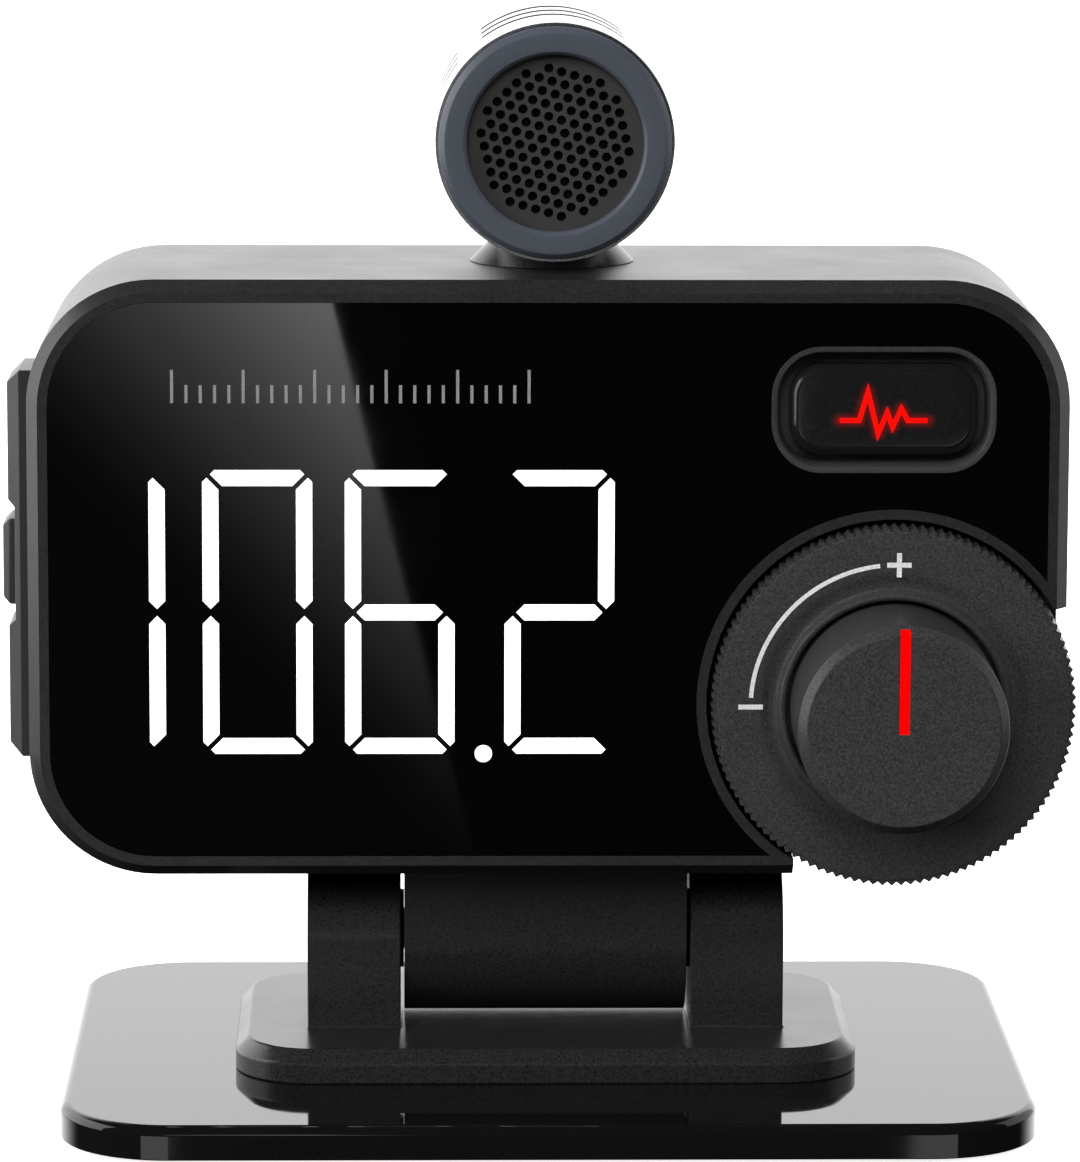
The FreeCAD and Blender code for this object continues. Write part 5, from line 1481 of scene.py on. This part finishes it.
# ---------------------------------------------------------------- studio
@dataclass
class Card:
    """A flat light that only reflections show.

    Attributes:
        name: its name.
        corners: its corners in millimetres.
        strength: its brightness, or the brightness at its bright end.
        fade: whether it fades towards its lower left.
        span: sum of x and z, in metres, at the dark and at the bright end of the fade.
        curve: how steep the fade is.
        dimmest: the brightness at its dark end.
    """

    name: str
    corners: Sequence[tuple[float, float, float]]
    strength: float
    fade: bool = False
    span: Point2 = (-0.049, 0.006)
    curve: float = 2.3
    dimmest: float = 0.03

    def hang(self) -> None:
        """Put the card up."""
        mesh = bpy.data.meshes.new(self.name)
        mesh.from_pydata([Vector(corner) * MM for corner in self.corners], [],
                         [tuple(range(len(self.corners)))])
        card = placed(self.name, mesh)
        sheet = ShaderSheet(self.name)
        sheet.fix(Base_Color=toned(WHITE, 0.0), Specular_IOR_Level=0.0, Emission_Color=toned(WHITE),
                  Emission_Strength=self.strength)
        if self.fade:
            axes = sheet.axes(sheet.place())
            along = sheet.ranged(sheet.maths("ADD", axes["X"], axes["Z"]), self.span, (0.0, 1.0))
            eased = sheet.maths("POWER", along, self.curve)
            sheet.drive("Emission Strength", sheet.maths("MULTIPLY_ADD", eased, self.strength, self.dimmest))
        mesh.materials.append(sheet.material)
        card.visible_camera = card.visible_diffuse = card.visible_shadow = card.visible_transmission = False


class Sky(NodeTree):
    """Studio walls as brightness by direction: bright behind the object, dark in front and above."""

    def __init__(self) -> None:
        """Start the world's node tree."""
        world = bpy.data.worlds.new("studio")
        bpy.context.scene.world = world
        world.use_nodes = True
        super().__init__(world.node_tree)

    def light(self) -> None:
        """Join the walls into the background, which the camera sees as plain white."""
        axes = self.axes(self.node("ShaderNodeTexCoord").outputs["Generated"])
        back, roof, floor = (
            self.ranged(axes[axis], span, result, interpolation_type="SMOOTHSTEP")
            for axis, span, result in (("Y", (0.35, 0.80), (0.015, 1.85)), ("Z", (0.45, 0.80), (1.0, 0.05)),
                                       ("Z", (-0.60, -0.25), (0.06, 1.0))))
        total = self.maths("MULTIPLY", self.maths("MULTIPLY", back, roof), floor)
        seen = self.node("ShaderNodeLightPath").outputs["Is Camera Ray"]
        pick = self.node("ShaderNodeMix", {"Factor": seen, "A": total, "B": 1.0}, data_type="FLOAT")
        background = self.tree.nodes["Background"].inputs
        self.feed(background["Color"], toned(WHITE))
        self.feed(background["Strength"], pick.outputs["Result"])


AIM = Vector((0, 0, 0.035))         # the point that the soft boxes face


@dataclass(frozen=True)
class SoftBox:
    """A soft box.

    Attributes:
        name: its name.
        place: its place in metres.
        size: its side in metres.
        power: its power in watts.
        in_gloss: whether reflections show it.
    """

    name: str
    place: tuple[float, float, float]
    size: float
    power: float
    in_gloss: bool = False

    def hang(self) -> None:
        """Hang the soft box, aimed at the object."""
        lamp = bpy.data.lights.new(self.name, "AREA")
        lamp.size = self.size
        lamp.energy = self.power
        light = placed(self.name, lamp)
        light.location = self.place
        light.rotation_euler = (AIM - Vector(self.place)).to_track_quat("-Z", "Y").to_euler()
        light.visible_glossy = self.in_gloss


@dataclass
class Studio:
    """Pale floor, soft lights and the camera.

    Lengths are in millimetres.

    Attributes:
        camera_place: the camera's place.
        pitch: how far the camera looks down, in degrees.
        yaw: how far it looks to the right of +Y, in degrees.
        roll: its turn about its own axis, in degrees.
        lens: its focal length.
        front_cards: y of the cards in front of the object.
    """

    camera_place: tuple[float, float, float] = (-10.2, -451.0, 112.3)
    pitch: float = 9.43
    yaw: float = 1.25
    roll: float = 0.2
    lens: float = 192.1
    front_cards: float = -300.0

    def set_up(self) -> None:
        """Make the floor, the lights, the sky and the camera."""
        bpy.context.scene.view_settings.view_transform = "Standard"
        self.make_floor()
        Sky().light()
        for box in (SoftBox("left_box", (-0.75, -0.35, 0.40), 0.5, 7.0),
                    SoftBox("right_box", (0.85, -0.2, 0.40), 0.5, 2.5),
                    SoftBox("back_box", (0.0, 0.8, 0.9), 0.9, 14.0),
                    SoftBox("front_box", (-0.15, -1.1, 0.75), 0.7, 10.0)):
            box.hang()
        for name, strength, outline in (
                ("slant_card", 2.9, ((-18.8, 24.3), (-21.0, 40.0), (-90.0, 40.0), (-90.0, -44.0),
                                     (-2.1, -41.7))),
                ("left_low_card", 1.3, ((-38.6, -56.0), (-38.6, -95.0), (-190.0, -95.0), (-190.0, -56.0))),
                ("right_low_card", 1.1, ((48.7, -56.0), (48.7, -95.0), (190.0, -95.0), (190.0, -56.0)))):
            corners = [(x, self.front_cards, z) for x, z in outline]
            Card(name, corners, strength, name == "slant_card").hang()
        foot, far = -18.0, 420.0
        for name, side, near, top, strength in (("left_card", -330.0, -110.0, 330.0, 2.4),
                                                ("right_card", 330.0, -30.0, 260.0, 0.9)):
            corners = [(side, near, foot), (side, far, foot), (side, far, top), (side, near, top)]
            Card(name, corners, strength).hang()
        self.make_camera()

    def make_floor(self) -> None:
        """Lay a pale floor under the object."""
        reach = 2.5
        mesh = bpy.data.meshes.new("floor")
        mesh.from_pydata([(-reach, -reach, 0), (reach, -reach, 0), (reach, reach, 0), (-reach, reach, 0)], [],
                         [(0, 1, 2, 3)])
        floor = placed("floor", mesh)
        sheet = ShaderSheet("pale_floor")
        sheet.fix(Roughness=0.8, Emission_Color=toned(WHITE), Emission_Strength=0.85)
        sheet.tint(sheet.noise(60.0), WHITE, 0.88, 0.90)
        mesh.materials.append(sheet.material)
        floor.visible_glossy = floor.visible_diffuse = False

    def make_camera(self) -> None:
        """Place the camera."""
        data = bpy.data.cameras.new("camera")
        data.lens = self.lens
        data.clip_start, data.clip_end = 0.02, 20.0
        camera = placed("camera", data)
        yaw, pitch = math.radians(self.yaw), math.radians(self.pitch)
        forward = Vector((math.sin(yaw) * math.cos(pitch), math.cos(yaw) * math.cos(pitch), -math.sin(pitch)))
        camera.location = Vector(self.camera_place) * MM
        camera.rotation_mode = "QUATERNION"
        roll = Quaternion((0, 0, 1), math.radians(self.roll))
        camera.rotation_quaternion = forward.to_track_quat("-Z", "Y") @ roll
        bpy.context.scene.camera = camera


def main() -> None:
    """Build the model round the CAD frame and light it."""
    logging.basicConfig(level=logging.INFO, format="%(message)s")
    shop = Workshop(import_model())
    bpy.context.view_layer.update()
    for part in (Base(), HeadShell(), TuningScale(), ControlWheel(), Knob(), PulseButton(), SideKeys(),
                 Microphone()):
        part.build(shop)
    Studio().set_up()


if __name__ == "__main__":
    main()
